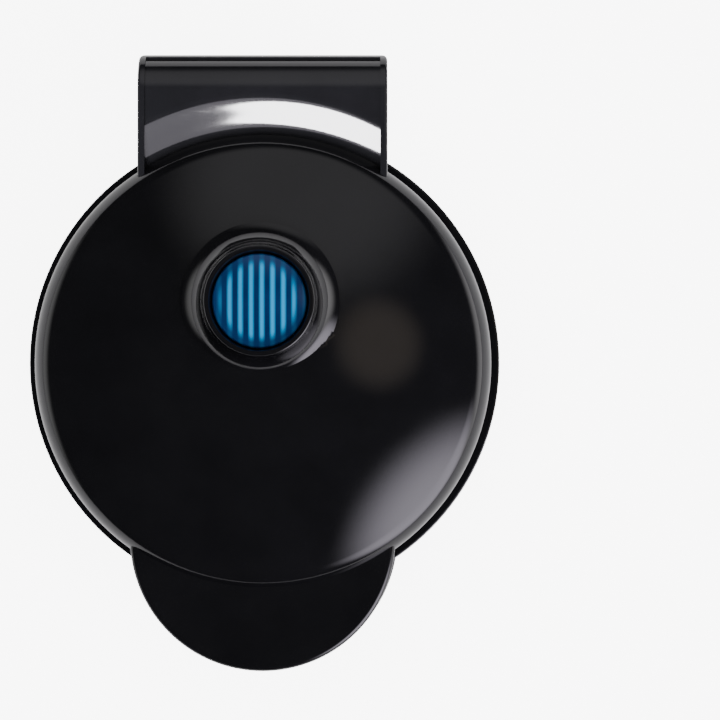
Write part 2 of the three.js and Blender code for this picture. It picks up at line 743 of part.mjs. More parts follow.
function upperHandle() {
  const profile = new THREE.Shape();
  profile.moveTo(0, lidRim);
  profile.lineTo(upperHandleRadius, lidRim);
  profile.absarc(upperHandleRadius - handleEdge, upperHandleTop - handleEdge, handleEdge,
    0, Math.PI / 2);
  profile.lineTo(0, upperHandleTop);
  return turned(profile, roundSides, 2).translate(0, handleCentre, 0);
}

// Everything under the sloping underside of the upper handle, raised by an offset.
function underUpperHandle(offset) {
  const slope = (upperHandleTipBottom - lidRim) / (reach - lidRadius - 0.5);
  return prismAlongX(outline([
    [-reach - past, 0],
    [0, 0],
    [0, lidRim + offset],
    [-lidRadius - 0.5, lidRim + offset],
    [-reach - past, lidRim + offset + slope * (reach + past - lidRadius - 0.5)],
  ]), -2 * baseRadius, 2 * baseRadius);
}

function hood() {
  const shape = new THREE.Shape();
  const front = lidRadius - 14;
  const under = Math.asin((lidRim - hingeHeight) / barrelRadius);
  shape.moveTo(front, lidRim);
  lineThenArc(shape, hingeY, hingeHeight, barrelRadius, -Math.PI - under, Math.PI / 2);
  shape.lineTo(front, hingeHeight + barrelRadius);
  const plan = roundedPlan(hingeHalfWidth, front, reach, hingeCorner);
  return prismAlongX(shape, -hingeHalfWidth, hingeHalfWidth, 20)
    .intersect(prism(plan, 0, collarTop, 3));
}

// The sunken panel: it dips towards the dome and follows the barrel at the back.
function hoodPanel() {
  const high = hingeHeight + barrelRadius;
  const shape = new THREE.Shape();
  const front = lidRadius - 16;
  const low = high - panelDrop - panelGive;
  const end = high - panelThin;
  shape.moveTo(front, low);
  shape.lineTo(lidRadius - 2, low);
  shape.bezierCurveTo(lidRadius + 4, low + panelGive, hingeY - 6, end, hingeY, end);
  shape.absarc(hingeY, hingeHeight, barrelRadius - panelThin, Math.PI / 2, radians(panelEnd), true);
  shape.lineTo(reach + past, hingeHeight + barrelRadius / 2);
  shape.lineTo(reach + past, high + past);
  shape.lineTo(front, high + past);
  const half = hingeHalfWidth - panelInset;
  return prismAlongX(shape, -half, half, 5);
}

function hoodRoom() {
  const half = hingeHalfWidth - wall;
  const front = lidRadius / 2;
  const top = hingeHeight + barrelRadius - panelDrop - panelGive - wall;
  const slot = outline([
    [hingeY, hingeHeight],
    onBarrel(2 * barrelRadius, barrelEdgeAngle),
    onBarrel(3 * barrelRadius, -90),
    [front, hingeHeight - 2 * barrelRadius],
    [front, top],
    [hingeY, top],
  ]);
  return prismAlongX(slot, -half, half)
    .add(rodAlongX(barrelRadius - barrelWall, -half, half, hingeY, hingeHeight, 20))
    .subtract(rod(lidRadius, 0, collarTop, 0, 0, roundSides));
}

function hingeRibs() {
  const inner = armInner - sideClearance;
  const boss = armInner + armThickness + sideClearance;
  return [-1, 1].flatMap((side) => [[inner - ribThickness, inner], [boss, hingeHalfWidth - 1]]
    .map(([from, to]) => {
      const [x0, x1] = [from * side, to * side].sort((a, b) => a - b);
      const web = block(x0, x1, hingeY - 4, hingeY + 4, hingeHeight, hingeHeight + barrelRadius - 2);
      return rodAlongX(ribHub, x0, x1, hingeY, hingeHeight, 12).add(web);
    }));
}

function lidShell() {
  const outerDome = dome(0, lidRim);
  const pocket = rod(upperHandleRadius - wall, 0, upperHandleTop - wall, 0, handleCentre, roundSides)
    .subtract(dome(0, 0));
  const hoodShape = hood().subtract(hoodPanel());
  const posts = handlePosts.map((x) => rod(upperPostRadius, lidRim, upperHandleTop - 1, x, handlePostY)
    .subtract(underUpperHandle(ringThickness + gap)));
  const ribs = ribAngles.map((degrees) => radialWall(plateRadius - ribReach, lidInnerWall + bite,
    parting - ribTop, lidWallTop + 6, degrees, webThickness).intersect(outerDome));
  const bosses = ringBosses(lidInnerWall, lidRim + ringThickness + gap, lidWallTop + 6)
    .map((boss) => boss.intersect(outerDome));
  const pad = rod(lensFlangeRadius + bite, lensSeat, lensSeat + padThickness, 0, lensY, smallSides);
  const walls = cutFrom(joined([outerDome, hoodShape, upperHandle()]), [
    underUpperHandle(0),
    pocket,
    hoodRoom(),
    dome(wall, 0),
  ]);
  const filled = joined([walls, collar().subtract(dome(wall, 0)), pad, ...posts, ...ribs,
    ...bosses, ...hingeRibs()]);
  return cutFrom(filled, [
    collarHole(),
    ...ringScrewHoles(lidInnerWall, lidRim, lidRim + screwLength + 2, screwHoleRadius),
    rodAlongX(pinRadius + pinClearance, -hingeHalfWidth + 1.5, hingeHalfWidth - 1.5, hingeY,
      hingeHeight),
    ...[-1, 1].map((side) => rod(screwHoleRadius, lensSeat - 1, lensSeat + padThickness + bite,
      side * lampScrewX, lensY)),
    block(-lidPassageHalf, lidPassageHalf, lidInnerWall - 6, lidRadius + 1, lidRim + 3.6,
      lidWallTop),
  ]);
}

function upperHandleCover() {
  const disc = rod(upperHandleRadius - wall - gap, 0, upperHandleTop, 0, handleCentre, roundSides);
  return cutFrom(disc.intersect(underUpperHandle(ringThickness)), [
    underUpperHandle(0),
    rod(lidRadius + gap, 0, collarTop, 0, 0, roundSides),
  ]);
}

function indicatorLens() {
  const apex = collarTop - lensApexDrop;
  const edge = collarTop - lensEdgeDrop;
  const flange = lensSeat - gap;
  const shape = new THREE.Shape();
  shape.moveTo(lensRadius - 1.2, flange - lensThickness);
  shape.lineTo(lensRadius + 0.2, flange - lensThickness);
  shape.lineTo(lensRadius, flange);
  shape.lineTo(lensRadius, edge);
  shape.quadraticCurveTo(lensRadius / 2, apex, 0, apex);
  shape.lineTo(0, apex - 1.6);
  shape.lineTo(lensRadius - 1.2, edge - 1.4);
  const body = turned(shape, smallSides, 2).translate(0, lensY, 0);
  const rim = rod(lensFlangeRadius, flange - lensThickness, flange, 0, lensY, smallSides)
    .subtract(rod(lensRadius - 0.6, 0, flange + 1, 0, lensY, smallSides));
  const flutes = fluteRows.map((row) => {
    const x = row * flutePitch;
    const half = Math.sqrt((lensRadius - 2) ** 2 - x ** 2);
    return block(x - fluteHalfWidth, x + fluteHalfWidth, lensY - half, lensY + half, edge - 2.6, edge - 0.6);
  });
  const holes = [-1, 1].map((side) =>
    rod(screwHoleRadius + 0.2, lensSeat - 3, lensSeat, side * lampScrewX, lensY));
  return cutFrom(joined([body, rim, ...flutes]), holes);
}

const holderTop = lensSeat - 2 * gap - lensThickness;

function lampHolder() {
  const floor = holderTop - 3;
  const cup = rod(lensRadius - 1.8, floor, holderTop + 2.5, 0, lensY, smallSides)
    .subtract(rod(lensRadius - 3.2, floor + 1.2, holderTop + 3, 0, lensY, smallSides));
  const flange = rod(lensFlangeRadius, holderTop - 1.2, holderTop, 0, lensY, smallSides)
    .subtract(rod(lensRadius - 2.5, 0, holderTop + 1, 0, lensY, smallSides));
  const socket = rod(lampRadius + 1.4, floor + 0.5, holderTop + 1, 0, lensY, 12);
  return cutFrom(joined([cup, flange, socket]), [
    rod(lampRadius + gap, floor + 1.5, holderTop + 2, 0, lensY, 12),
    ...[-1, 1].map((side) => rod(screwHoleRadius + 0.2, 0, holderTop + 1, side * lampScrewX, lensY)),
  ]);
}

function indicatorLamp() {
  const bottom = holderTop - 1.2;
  const shape = new THREE.Shape();
  shape.moveTo(0, bottom);
  shape.lineTo(lampRadius, bottom);
  shape.absarc(0, bottom + lampRise, lampRadius, 0, Math.PI / 2);
  return turned(shape, 12, 2).translate(0, lensY, 0);
}

// ---- wires ----

function baseWires() {
  const floor = footHeight + wall + gap + wireRadius + 0.2;
  const mouthY = terminal.y - terminal.depth - gap;
  const mouthZ = terminalFloor + terminal.mouth;
  const tab = thermostatTabs - gap - wireRadius;
  const endY = elementEndY - elementTubeRadius - gap;
  const endZ = parting + elementLevel - lowerElementTail + 2;
  const fuseEnd = [fuse.leadHalf + 1, fusePlace.y, fusePlace.z];
  return [
    ["live_wire", redSleeve, [[-4, mouthY, mouthZ], [-5, mouthY - 8, mouthZ],
      [-16, 14, floor + 1], [-20, -6, floor + 1], [-18, fusePlace.y + 1, fusePlace.z - 0.5],
      [-fuseEnd[0], fuseEnd[1], fuseEnd[2]]]],
    ["fuse_wire", redSleeve, [fuseEnd, [18, fusePlace.y + 3, fusePlace.z - 1],
      [14, -6, tab + 0.5], [7, 0, tab], [4, 0, tab]]],
    ["heater_wire", redSleeve, [[-4, 0, tab], [-6.5, 3, tab], [-9, 14, tab + 1],
      [-elementEndX - 1, endY - 5, endZ - 0.5], [-elementEndX, endY, endZ]]],
    ["neutral_wire", blueSleeve, [[4, mouthY, mouthZ], [3.6, mouthY - 7, mouthZ],
      [6, endY - 9, mouthZ + 1], [elementEndX, endY - 4, endZ - 0.5], [elementEndX, endY, endZ]]],
  ];
}

function lidWires() {
  const z = 2 * parting - (parting + shieldTop - shieldThickness - shieldDepth) + wireRadius + 0.8;
  const tailEnd = parting - elementLevel + upperElementTail;
  const endY = elementEndY + elementTubeRadius + gap;
  const last = hingeY - 5.2;
  const level = hingeHeight + 2.4; // the wires cross the wall into the hood at this height
  const down = (x) =>
    [[x, 48.5, z - 3.8], [x, 53, z - 8.6], [x, lidRadius - 3, level], [x, last, level]];
  const lamp = (x) => [[x, lensY + lensFlangeRadius, holderTop - 0.6], [x, lensY + 21, z + 0.9],
    ...down(x)];
  const heater = (x) => [[Math.sign(x) * elementEndX, endY, tailEnd - 0.4],
    [Math.sign(x) * elementEndX, endY + 3, tailEnd], [x, 42, z - 0.6], ...down(x)];
  return [
    ["lamp_wire_left", redSleeve, lamp(-2)],
    ["lamp_wire_right", blueSleeve, lamp(2)],
    ["upper_heater_wire_left", redSleeve, heater(-6)],
    ["upper_heater_wire_right", blueSleeve, heater(6)],
  ];
}

// ---- the assembly ----
const base = new THREE.Group();
const lidTurn = new THREE.Group();
const lid = new THREE.Group();
lidTurn.position.set(0, hingeY, hingeHeight);
lid.position.set(0, -hingeY, -hingeHeight);
lidTurn.add(lid);

const turnedOver = new THREE.Group();
turnedOver.position.set(0, 0, parting);
turnedOver.rotation.set(0, Math.PI, 0);
const lowerStack = new THREE.Group();
lowerStack.position.set(0, 0, parting);
base.add(lowerStack);
lid.add(turnedOver);

base.add(
  node("base_shell", baseShell(), glossBlack),
  node("lower_handle_cover", lowerHandleCover(), glossBlack),
  node("base_trim_ring", trimRing(baseInnerWall), mattBlack, [0, 0, seamHeight]),
  node("bottom_cover", bottomCover(), mattBlack),
  node("hinge_saddle", hingeSaddle(), glossBlack),
  node("terminal_block", terminalBlock(), whiteInsulator),
  node("cord_gland", cordGland(), rubber),
  node("gland_nut", glandNut(), mattBlack),
  node("thermal_fuse", thermalFuse(), whiteInsulator),
);
lowerStack.add(
  node("lower_cooking_plate", cookingPlate(true), nonStick),
  node("lower_heating_element", heatingElement(lowerElementTail), steel),
  node("lower_heat_shield", heatShield(), galvanised),
  node("thermostat", thermostat(), bakelite),
);
feet.forEach(([name, x, y]) => base.add(node(name, foot(), rubber, [x, y, 0])));

lid.add(
  node("lid_shell", lidShell(), glossBlack),
  node("upper_handle_cover", upperHandleCover(), glossBlack),
  node("indicator_lens", indicatorLens(), blueLens),
  node("lamp_holder", lampHolder(), whiteInsulator),
  node("indicator_lamp", indicatorLamp(), lampGlass),
);
turnedOver.add(
  node("upper_cooking_plate", cookingPlate(false), nonStick),
  node("upper_heating_element", heatingElement(upperElementTail), steel),
  node("upper_heat_shield", heatShield(), galvanised),
);
const lidRing = node("lid_trim_ring", trimRing(lidInnerWall), mattBlack, [0, 0, lidRim]);
lidRing.rotation.set(0, Math.PI, 0);
lid.add(lidRing);

function addScrews(group, name, places, shape, material, rotation = [0, 0, 0]) {
  places.forEach((place, i) => {
    const mesh = node(`${name}_${i + 1}`, shape, material, place);
    mesh.rotation.set(...rotation);
    group.add(mesh);
  });
}

const ringScrew = screw(screwHeadRadius, screwHeadHeight, screwShankRadius, screwLength);
addScrews(base, "base_ring_screw", ringScrewAngles.map((degrees) =>
  [...around(baseInnerWall - screwInset, degrees), seamHeight]), ringScrew, steel);
addScrews(lid, "lid_ring_screw", ringScrewAngles.map((degrees) => {
  const [x, y] = around(lidInnerWall - screwInset, degrees);
  return [-x, y, lidRim];
}), ringScrew, steel, [0, Math.PI, 0]);

const coverScrew = screw(2.8, 1.2, 1.15, 8);
addScrews(base, "bottom_cover_screw", coverScrewAngles.map((degrees) =>
  [...around(coverScrewRadius, degrees), footHeight - 1.5]), coverScrew, steel,
[0, Math.PI, 0]);
addScrews(base, "saddle_screw", [-1, 1].map((side) =>
  [side * saddleScrewX, hingeY, saddlePostTop - 6]), screw(2.8, 2, 1.15, 7), steel,
[0, Math.PI, 0]);
addScrews(lowerStack, "thermostat_screw", [-1, 1].map((side) =>
  [side * thermostatEar, 0, panBottom - thermostatCapHeight - gap - 2.6]),
screw(2.2, 1.4, 1, 5), steel, [0, Math.PI, 0]);
addScrews(lid, "lamp_screw", [-1, 1].map((side) =>
  [side * lampScrewX, lensY, holderTop - 3]), screw(2, 1.5, 0.9, 6), steel, [0, Math.PI, 0]);

base.add(
  node("left_hinge_pin", hingePin().mirror([1, 0, 0]), steel, [0, hingeY, hingeHeight]),
  node("right_hinge_pin", hingePin(), steel, [0, hingeY, hingeHeight]),
);
baseWires().forEach(([name, material, points]) =>
  base.add(node(name, tube(points, wireRadius, 14, 4), material)));
lidWires().forEach(([name, material, points]) =>
  lid.add(node(name, tube(points, wireRadius, 12, 4), material)));

const waffleMaker = new THREE.Group();
waffleMaker.name = "waffle_maker";
waffleMaker.add(base, lidTurn);
export default waffleMaker;
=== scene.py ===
import json
from math import acos, asin, atan2, cos, hypot, pi, radians, sin, sqrt

import bpy
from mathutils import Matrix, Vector


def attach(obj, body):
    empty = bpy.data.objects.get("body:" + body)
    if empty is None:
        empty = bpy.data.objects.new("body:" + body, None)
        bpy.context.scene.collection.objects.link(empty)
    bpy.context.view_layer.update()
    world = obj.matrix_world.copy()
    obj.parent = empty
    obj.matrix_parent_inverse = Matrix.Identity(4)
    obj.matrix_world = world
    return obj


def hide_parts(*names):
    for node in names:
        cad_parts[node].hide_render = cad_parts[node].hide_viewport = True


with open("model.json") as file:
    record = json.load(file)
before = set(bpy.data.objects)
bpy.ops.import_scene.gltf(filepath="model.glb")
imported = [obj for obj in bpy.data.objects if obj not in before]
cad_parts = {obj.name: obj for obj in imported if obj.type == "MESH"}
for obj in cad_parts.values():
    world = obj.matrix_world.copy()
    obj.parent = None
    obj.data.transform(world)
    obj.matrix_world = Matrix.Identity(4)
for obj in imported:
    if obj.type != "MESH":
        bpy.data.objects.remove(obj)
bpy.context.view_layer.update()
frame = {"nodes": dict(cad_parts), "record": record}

# Round waffle maker, closed. Metres, +Z up, handle to -Y, hinge to +Y. Sizes below are in mm.
mm = 0.001

shared = {
    "baseRadius": 63.5, "lidRadius": 60.8, "seam": 32.0, "lidRim": 33.2, "parting": 32.6,
    "handleY": -46.5, "hingeY": 72.5, "hingeZ": 37.0, "barrel": 10.0, "cradle": 10.4,
    "back": 82.5, "hingeHalf": 33.1, "wall": 2.2, "gap": 0.3, "ribPitch": 2.75, "roundSteps": 144,
    "smoothAngle": 32, "slack": 0.01, "weld": 0.001, "far": 120,
}


def deselectAll():
    if bpy.context.object and bpy.context.object.mode != "OBJECT":
        bpy.ops.object.mode_set(mode="OBJECT")
    bpy.ops.object.select_all(action="DESELECT")


def workOn(piece):
    deselectAll()
    piece.select_set(True)
    bpy.context.view_layer.objects.active = piece


def applyPlace(name):
    piece = bpy.context.object
    piece.name = piece.data.name = name
    bpy.ops.object.transform_apply(location=True, rotation=True, scale=True)
    return piece


def arc(a, b, radius, start, end, steps):
    turn = radians(end - start) / steps
    return [(a + radius * cos(radians(start) + turn * i), b + radius * sin(radians(start) + turn * i))
            for i in range(steps + 1)]


def trace(name, points):
    deselectAll()
    start = Vector(points[0]) * mm
    bpy.ops.mesh.primitive_plane_add(size=mm, location=start)
    piece = applyPlace(name)
    bpy.ops.object.mode_set(mode="EDIT")
    bpy.ops.mesh.select_mode(type="VERT")
    bpy.ops.mesh.select_all(action="SELECT")
    bpy.ops.mesh.merge(type="CENTER")
    for a, b in zip(points, points[1:]):
        step = (Vector(b) - Vector(a)) * mm
        bpy.ops.mesh.extrude_vertices_move(TRANSFORM_OT_translate={"value": step})
    return piece


def closeUp():  # one skin, facing outwards
    bpy.ops.mesh.select_all(action="SELECT")
    bpy.ops.mesh.remove_doubles(threshold=shared["weld"] * mm)
    bpy.ops.mesh.normals_make_consistent(inside=False)
    bpy.ops.object.mode_set(mode="OBJECT")


def spun(name, profile, centre=(0, 0), steps=shared["roundSteps"], alongY=False):
    # profile is (radius, height), turned about an upright line, or about a line along Y
    if alongY:
        points = [(centre[0] + r, h, centre[1]) for r, h in profile]
        middle, axis = (centre[0] * mm, 0, centre[1] * mm), (0, 1, 0)
    else:
        points = [(centre[0] + r, centre[1], h) for r, h in profile]
        middle, axis = (centre[0] * mm, centre[1] * mm, 0), (0, 0, 1)
    piece = trace(name, points)
    bpy.ops.mesh.select_all(action="SELECT")
    bpy.ops.mesh.spin(steps=steps, angle=2 * pi, center=middle, axis=axis)
    closeUp()
    return piece


def drawnOut(name, points, reach):
    # a closed outline, filled and extruded
    piece = trace(name, points)
    bpy.ops.mesh.select_all(action="SELECT")
    bpy.ops.mesh.edge_face_add()
    bpy.ops.mesh.select_all(action="SELECT")
    bpy.ops.mesh.extrude_region_move(TRANSFORM_OT_translate={"value": Vector(reach) * mm})
    closeUp()
    return piece


def sideShape(name, outline, half):  # outline in (Y, Z), centred across X
    return drawnOut(name, [(-half, y, z) for y, z in outline], (2 * half, 0, 0))


def planShape(name, outline, low, high):
    return drawnOut(name, [(x, y, low) for x, y in outline], (0, 0, high - low))


def box(name, x0, x1, y0, y1, z0, z1):
    deselectAll()
    middle = Vector(((x0 + x1) / 2, (y0 + y1) / 2, (z0 + z1) / 2)) * mm
    bpy.ops.mesh.primitive_cube_add(size=1, location=middle,
                                    scale=(abs(x1 - x0) * mm, abs(y1 - y0) * mm, abs(z1 - z0) * mm))
    return applyPlace(name)


def rod(name, radius, low, high, x=0, y=0, sides=32):
    deselectAll()
    bpy.ops.mesh.primitive_cylinder_add(vertices=sides, radius=radius * mm, depth=(high - low) * mm,
                                        location=Vector((x, y, (low + high) / 2)) * mm)
    return applyPlace(name)


def rodAcross(name, radius, x0, x1, y, z, sides=32):
    deselectAll()
    bpy.ops.mesh.primitive_cylinder_add(vertices=sides, radius=radius * mm, depth=abs(x1 - x0) * mm,
                                        location=Vector(((x0 + x1) / 2, y, z)) * mm,
                                        rotation=(0, pi / 2, 0))
    return applyPlace(name)


def combine(piece, tool, way):
    workOn(piece)
    step = piece.modifiers.new("combine", "BOOLEAN")
    step.operation, step.object, step.solver = way, tool, "EXACT"
    bpy.ops.object.modifier_apply(modifier=step.name)
    bpy.data.objects.remove(tool, do_unlink=True)
    return piece


def joinTo(piece, *tools):
    for tool in tools:
        combine(piece, tool, "UNION")
    return piece


def cutFrom(piece, *tools):
    for tool in tools:
        combine(piece, tool, "DIFFERENCE")
    return piece


def keepWithin(piece, tool):
    return combine(piece, tool, "INTERSECT")


def roundEdges(piece, width, segments, test):
    # rounds the edges whose two ends and middle pass the test, in mm
    workOn(piece)
    bpy.ops.object.mode_set(mode="EDIT")
    bpy.ops.mesh.select_mode(type="EDGE")
    bpy.ops.mesh.select_all(action="DESELECT")
    bpy.ops.object.mode_set(mode="OBJECT")
    mesh = piece.data
    for edge in mesh.edges:
        a, b = (mesh.vertices[v].co / mm for v in edge.vertices)
        edge.select = test(*a) and test(*b) and test(*((a + b) / 2))
    bpy.ops.object.mode_set(mode="EDIT")
    bpy.ops.mesh.bevel(offset=width * mm, segments=segments, affect="EDGES")
    bpy.ops.object.mode_set(mode="OBJECT")


def copyOf(piece, name, shift=(0, 0, 0), turned=None):
    workOn(piece)
    bpy.ops.object.duplicate(linked=False)
    made = bpy.context.object
    made.name = made.data.name = name
    bpy.ops.object.mode_set(mode="EDIT")
    bpy.ops.mesh.select_all(action="SELECT")
    if turned:
        bpy.ops.transform.rotate(value=turned[0], orient_axis=turned[1],
                                 center_override=Vector(turned[2]) * mm)
    bpy.ops.transform.translate(value=Vector(shift) * mm)
    bpy.ops.object.mode_set(mode="OBJECT")
    return made


def finishPiece(piece, body, slotName, stoodFor):
    workOn(piece)
    bpy.ops.object.shade_smooth_by_angle(angle=radians(shared["smoothAngle"]))
    bpy.ops.object.modifier_add(type="WEIGHTED_NORMAL")  # keeps the large flat faces flat to the light
    piece.modifiers[-1].keep_sharp = True
    bpy.ops.object.modifier_apply(modifier=piece.modifiers[-1].name)
    piece.data.materials.clear()
    piece.data.materials.append(finishes[slotName])
    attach(piece, body)
    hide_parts(*stoodFor)
    return piece


def addNode(tree, kind, **settings):
    node = tree.nodes.new(kind)
    for key, value in settings.items():
        setattr(node, key, value)
    return node


def setInputs(node, values):
    for key, value in values.items():
        node.inputs[key].default_value = value


def makeMarkedSurface():
    # soft patches of colour, a fine moulded grain and faint rubbed lines
    tree = bpy.data.node_groups.new("markedSurface", "ShaderNodeTree")
    face = tree.interface
    for name, kind in (("darker", "NodeSocketColor"), ("lighter", "NodeSocketColor"),
                       ("smoothest", "NodeSocketFloat"), ("roughest", "NodeSocketFloat"),
                       ("patchScale", "NodeSocketFloat"), ("grainScale", "NodeSocketFloat"),
                       ("rubLift", "NodeSocketFloat")):
        face.new_socket(name, in_out="INPUT", socket_type=kind)
    for name, kind in (("colour", "NodeSocketColor"), ("roughness", "NodeSocketFloat"),
                       ("height", "NodeSocketFloat")):
        face.new_socket(name, in_out="OUTPUT", socket_type=kind)
    enter, leave = addNode(tree, "NodeGroupInput"), addNode(tree, "NodeGroupOutput")
    place = addNode(tree, "ShaderNodeTexCoord")
    patches = addNode(tree, "ShaderNodeTexNoise")
    grain = addNode(tree, "ShaderNodeTexNoise")
    stretch = addNode(tree, "ShaderNodeMapping")
    rubs = addNode(tree, "ShaderNodeTexNoise")
    thin = addNode(tree, "ShaderNodeMapRange")
    blend = addNode(tree, "ShaderNodeMix", data_type="RGBA")
    level = addNode(tree, "ShaderNodeMapRange")
    lift = addNode(tree, "ShaderNodeMath", operation="MULTIPLY_ADD")
    setInputs(patches, {"Detail": 3, "Roughness": 0.55})
    setInputs(grain, {"Detail": 4, "Roughness": 0.6})
    setInputs(stretch, {"Rotation": (0.2, 0.4, 0.6), "Scale": (1, 22, 3)})
    setInputs(rubs, {"Scale": 90, "Detail": 5, "Roughness": 0.7})
    setInputs(thin, {"From Min": 0.58, "From Max": 0.74, "To Min": 0, "To Max": 1})
    setInputs(level, {"From Min": 0.3, "From Max": 0.7})
    link = tree.links.new
    for user in (patches, grain, stretch):
        link(place.outputs["Object"], user.inputs["Vector"])
    link(stretch.outputs["Vector"], rubs.inputs["Vector"])
    link(enter.outputs["patchScale"], patches.inputs["Scale"])
    link(enter.outputs["grainScale"], grain.inputs["Scale"])
    link(patches.outputs["Fac"], blend.inputs["Factor"])
    link(enter.outputs["darker"], blend.inputs["A"])
    link(enter.outputs["lighter"], blend.inputs["B"])
    link(patches.outputs["Fac"], level.inputs["Value"])
    link(enter.outputs["smoothest"], level.inputs["To Min"])
    link(enter.outputs["roughest"], level.inputs["To Max"])
    link(rubs.outputs["Fac"], thin.inputs["Value"])
    link(thin.outputs["Result"], lift.inputs[0])
    link(enter.outputs["rubLift"], lift.inputs[1])
    link(level.outputs["Result"], lift.inputs[2])
    link(blend.outputs["Result"], leave.inputs["colour"])
    link(lift.outputs["Value"], leave.inputs["roughness"])
    link(grain.outputs["Fac"], leave.inputs["height"])
    return tree


markedSurface = makeMarkedSurface()

# darker and lighter colour, roughness range, patch and grain scale, rubbed lines, bump depth in mm
finishValues = {
    "gloss_black": dict(darker=(0.003, 0.003, 0.0035), lighter=(0.006, 0.006, 0.007), rough=(0.06, 0.1),
                        patch=60, grain=900, rub=0.05, depth=0.004, shader={"Specular IOR Level": 0.5,
                                                                            "IOR": 1.5}),
    "matt_black": dict(darker=(0.012, 0.012, 0.013), lighter=(0.024, 0.024, 0.025), rough=(0.5, 0.62),
                       patch=90, grain=2400, rub=0.1, depth=0.03, shader={"IOR": 1.48}),
    "non_stick": dict(darker=(0.02, 0.019, 0.019), lighter=(0.045, 0.043, 0.042), rough=(0.3, 0.42),
                      patch=150, grain=3200, rub=0.15, depth=0.02, shader={"Metallic": 0.25}),
    "steel": dict(darker=(0.42, 0.43, 0.44), lighter=(0.62, 0.62, 0.63), rough=(0.2, 0.34),
                  patch=300, grain=2600, rub=0.2, depth=0.01, shader={"Metallic": 1.0}),
    "galvanised": dict(darker=(0.36, 0.38, 0.4), lighter=(0.6, 0.62, 0.64), rough=(0.32, 0.5),
                       patch=240, grain=700, rub=0.1, depth=0.02, shader={"Metallic": 1.0}),
    "rubber": dict(darker=(0.012, 0.012, 0.012), lighter=(0.03, 0.03, 0.03), rough=(0.7, 0.86),
                   patch=200, grain=3000, rub=0.05, depth=0.04, shader={"IOR": 1.4}),
    "insulator": dict(darker=(0.62, 0.6, 0.54), lighter=(0.8, 0.78, 0.72), rough=(0.4, 0.55),
                      patch=160, grain=2000, rub=0.1, depth=0.02, shader={"IOR": 1.5}),
    "red_sleeve": dict(darker=(0.3, 0.03, 0.02), lighter=(0.46, 0.06, 0.04), rough=(0.5, 0.62),
                       patch=300, grain=2500, rub=0.08, depth=0.02, shader={"IOR": 1.45}),
    "blue_sleeve": dict(darker=(0.02, 0.05, 0.2), lighter=(0.05, 0.1, 0.34), rough=(0.5, 0.62),
                        patch=300, grain=2500, rub=0.08, depth=0.02, shader={"IOR": 1.45}),
    "bakelite": dict(darker=(0.03, 0.014, 0.008), lighter=(0.07, 0.034, 0.02), rough=(0.24, 0.38),
                     patch=220, grain=1800, rub=0.1, depth=0.02, shader={"IOR": 1.55}),
    "lamp_glass": dict(darker=(0.8, 0.5, 0.32), lighter=(0.95, 0.68, 0.46), rough=(0.02, 0.08),
                       patch=200, grain=900, rub=0.02, depth=0.004, shader={"Transmission Weight": 0.9,
                                                                            "IOR": 1.5}),
    "blue_lens": dict(darker=(0.001, 0.012, 0.05), lighter=(0.003, 0.03, 0.11), rough=(0.05, 0.1),
                      patch=120, grain=1200, rub=0.03, depth=0.004, shader={"Transmission Weight": 0.2,
                                                                            "IOR": 1.49}),
}


def makeFinish(name, values):
    made = bpy.data.materials.new(name)
    made.use_nodes = True
    tree = made.node_tree
    shader = next(n for n in tree.nodes if n.type == "BSDF_PRINCIPLED")
    surface = addNode(tree, "ShaderNodeGroup", node_tree=markedSurface)
    bump = addNode(tree, "ShaderNodeBump")
    setInputs(surface, {"darker": (*values["darker"], 1), "lighter": (*values["lighter"], 1),
                        "smoothest": values["rough"][0], "roughest": values["rough"][1],
                        "patchScale": values["patch"], "grainScale": values["grain"],
                        "rubLift": values["rub"]})
    setInputs(bump, {"Strength": 0.5, "Distance": values["depth"] * mm})
    setInputs(shader, values["shader"])
    link = tree.links.new
    link(surface.outputs["colour"], shader.inputs["Base Color"])
    link(surface.outputs["roughness"], shader.inputs["Roughness"])
    link(surface.outputs["height"], bump.inputs["Height"])
    link(bump.outputs["Normal"], shader.inputs["Normal"])
    return made


finishes = {name: makeFinish(name, values) for name, values in finishValues.items()}


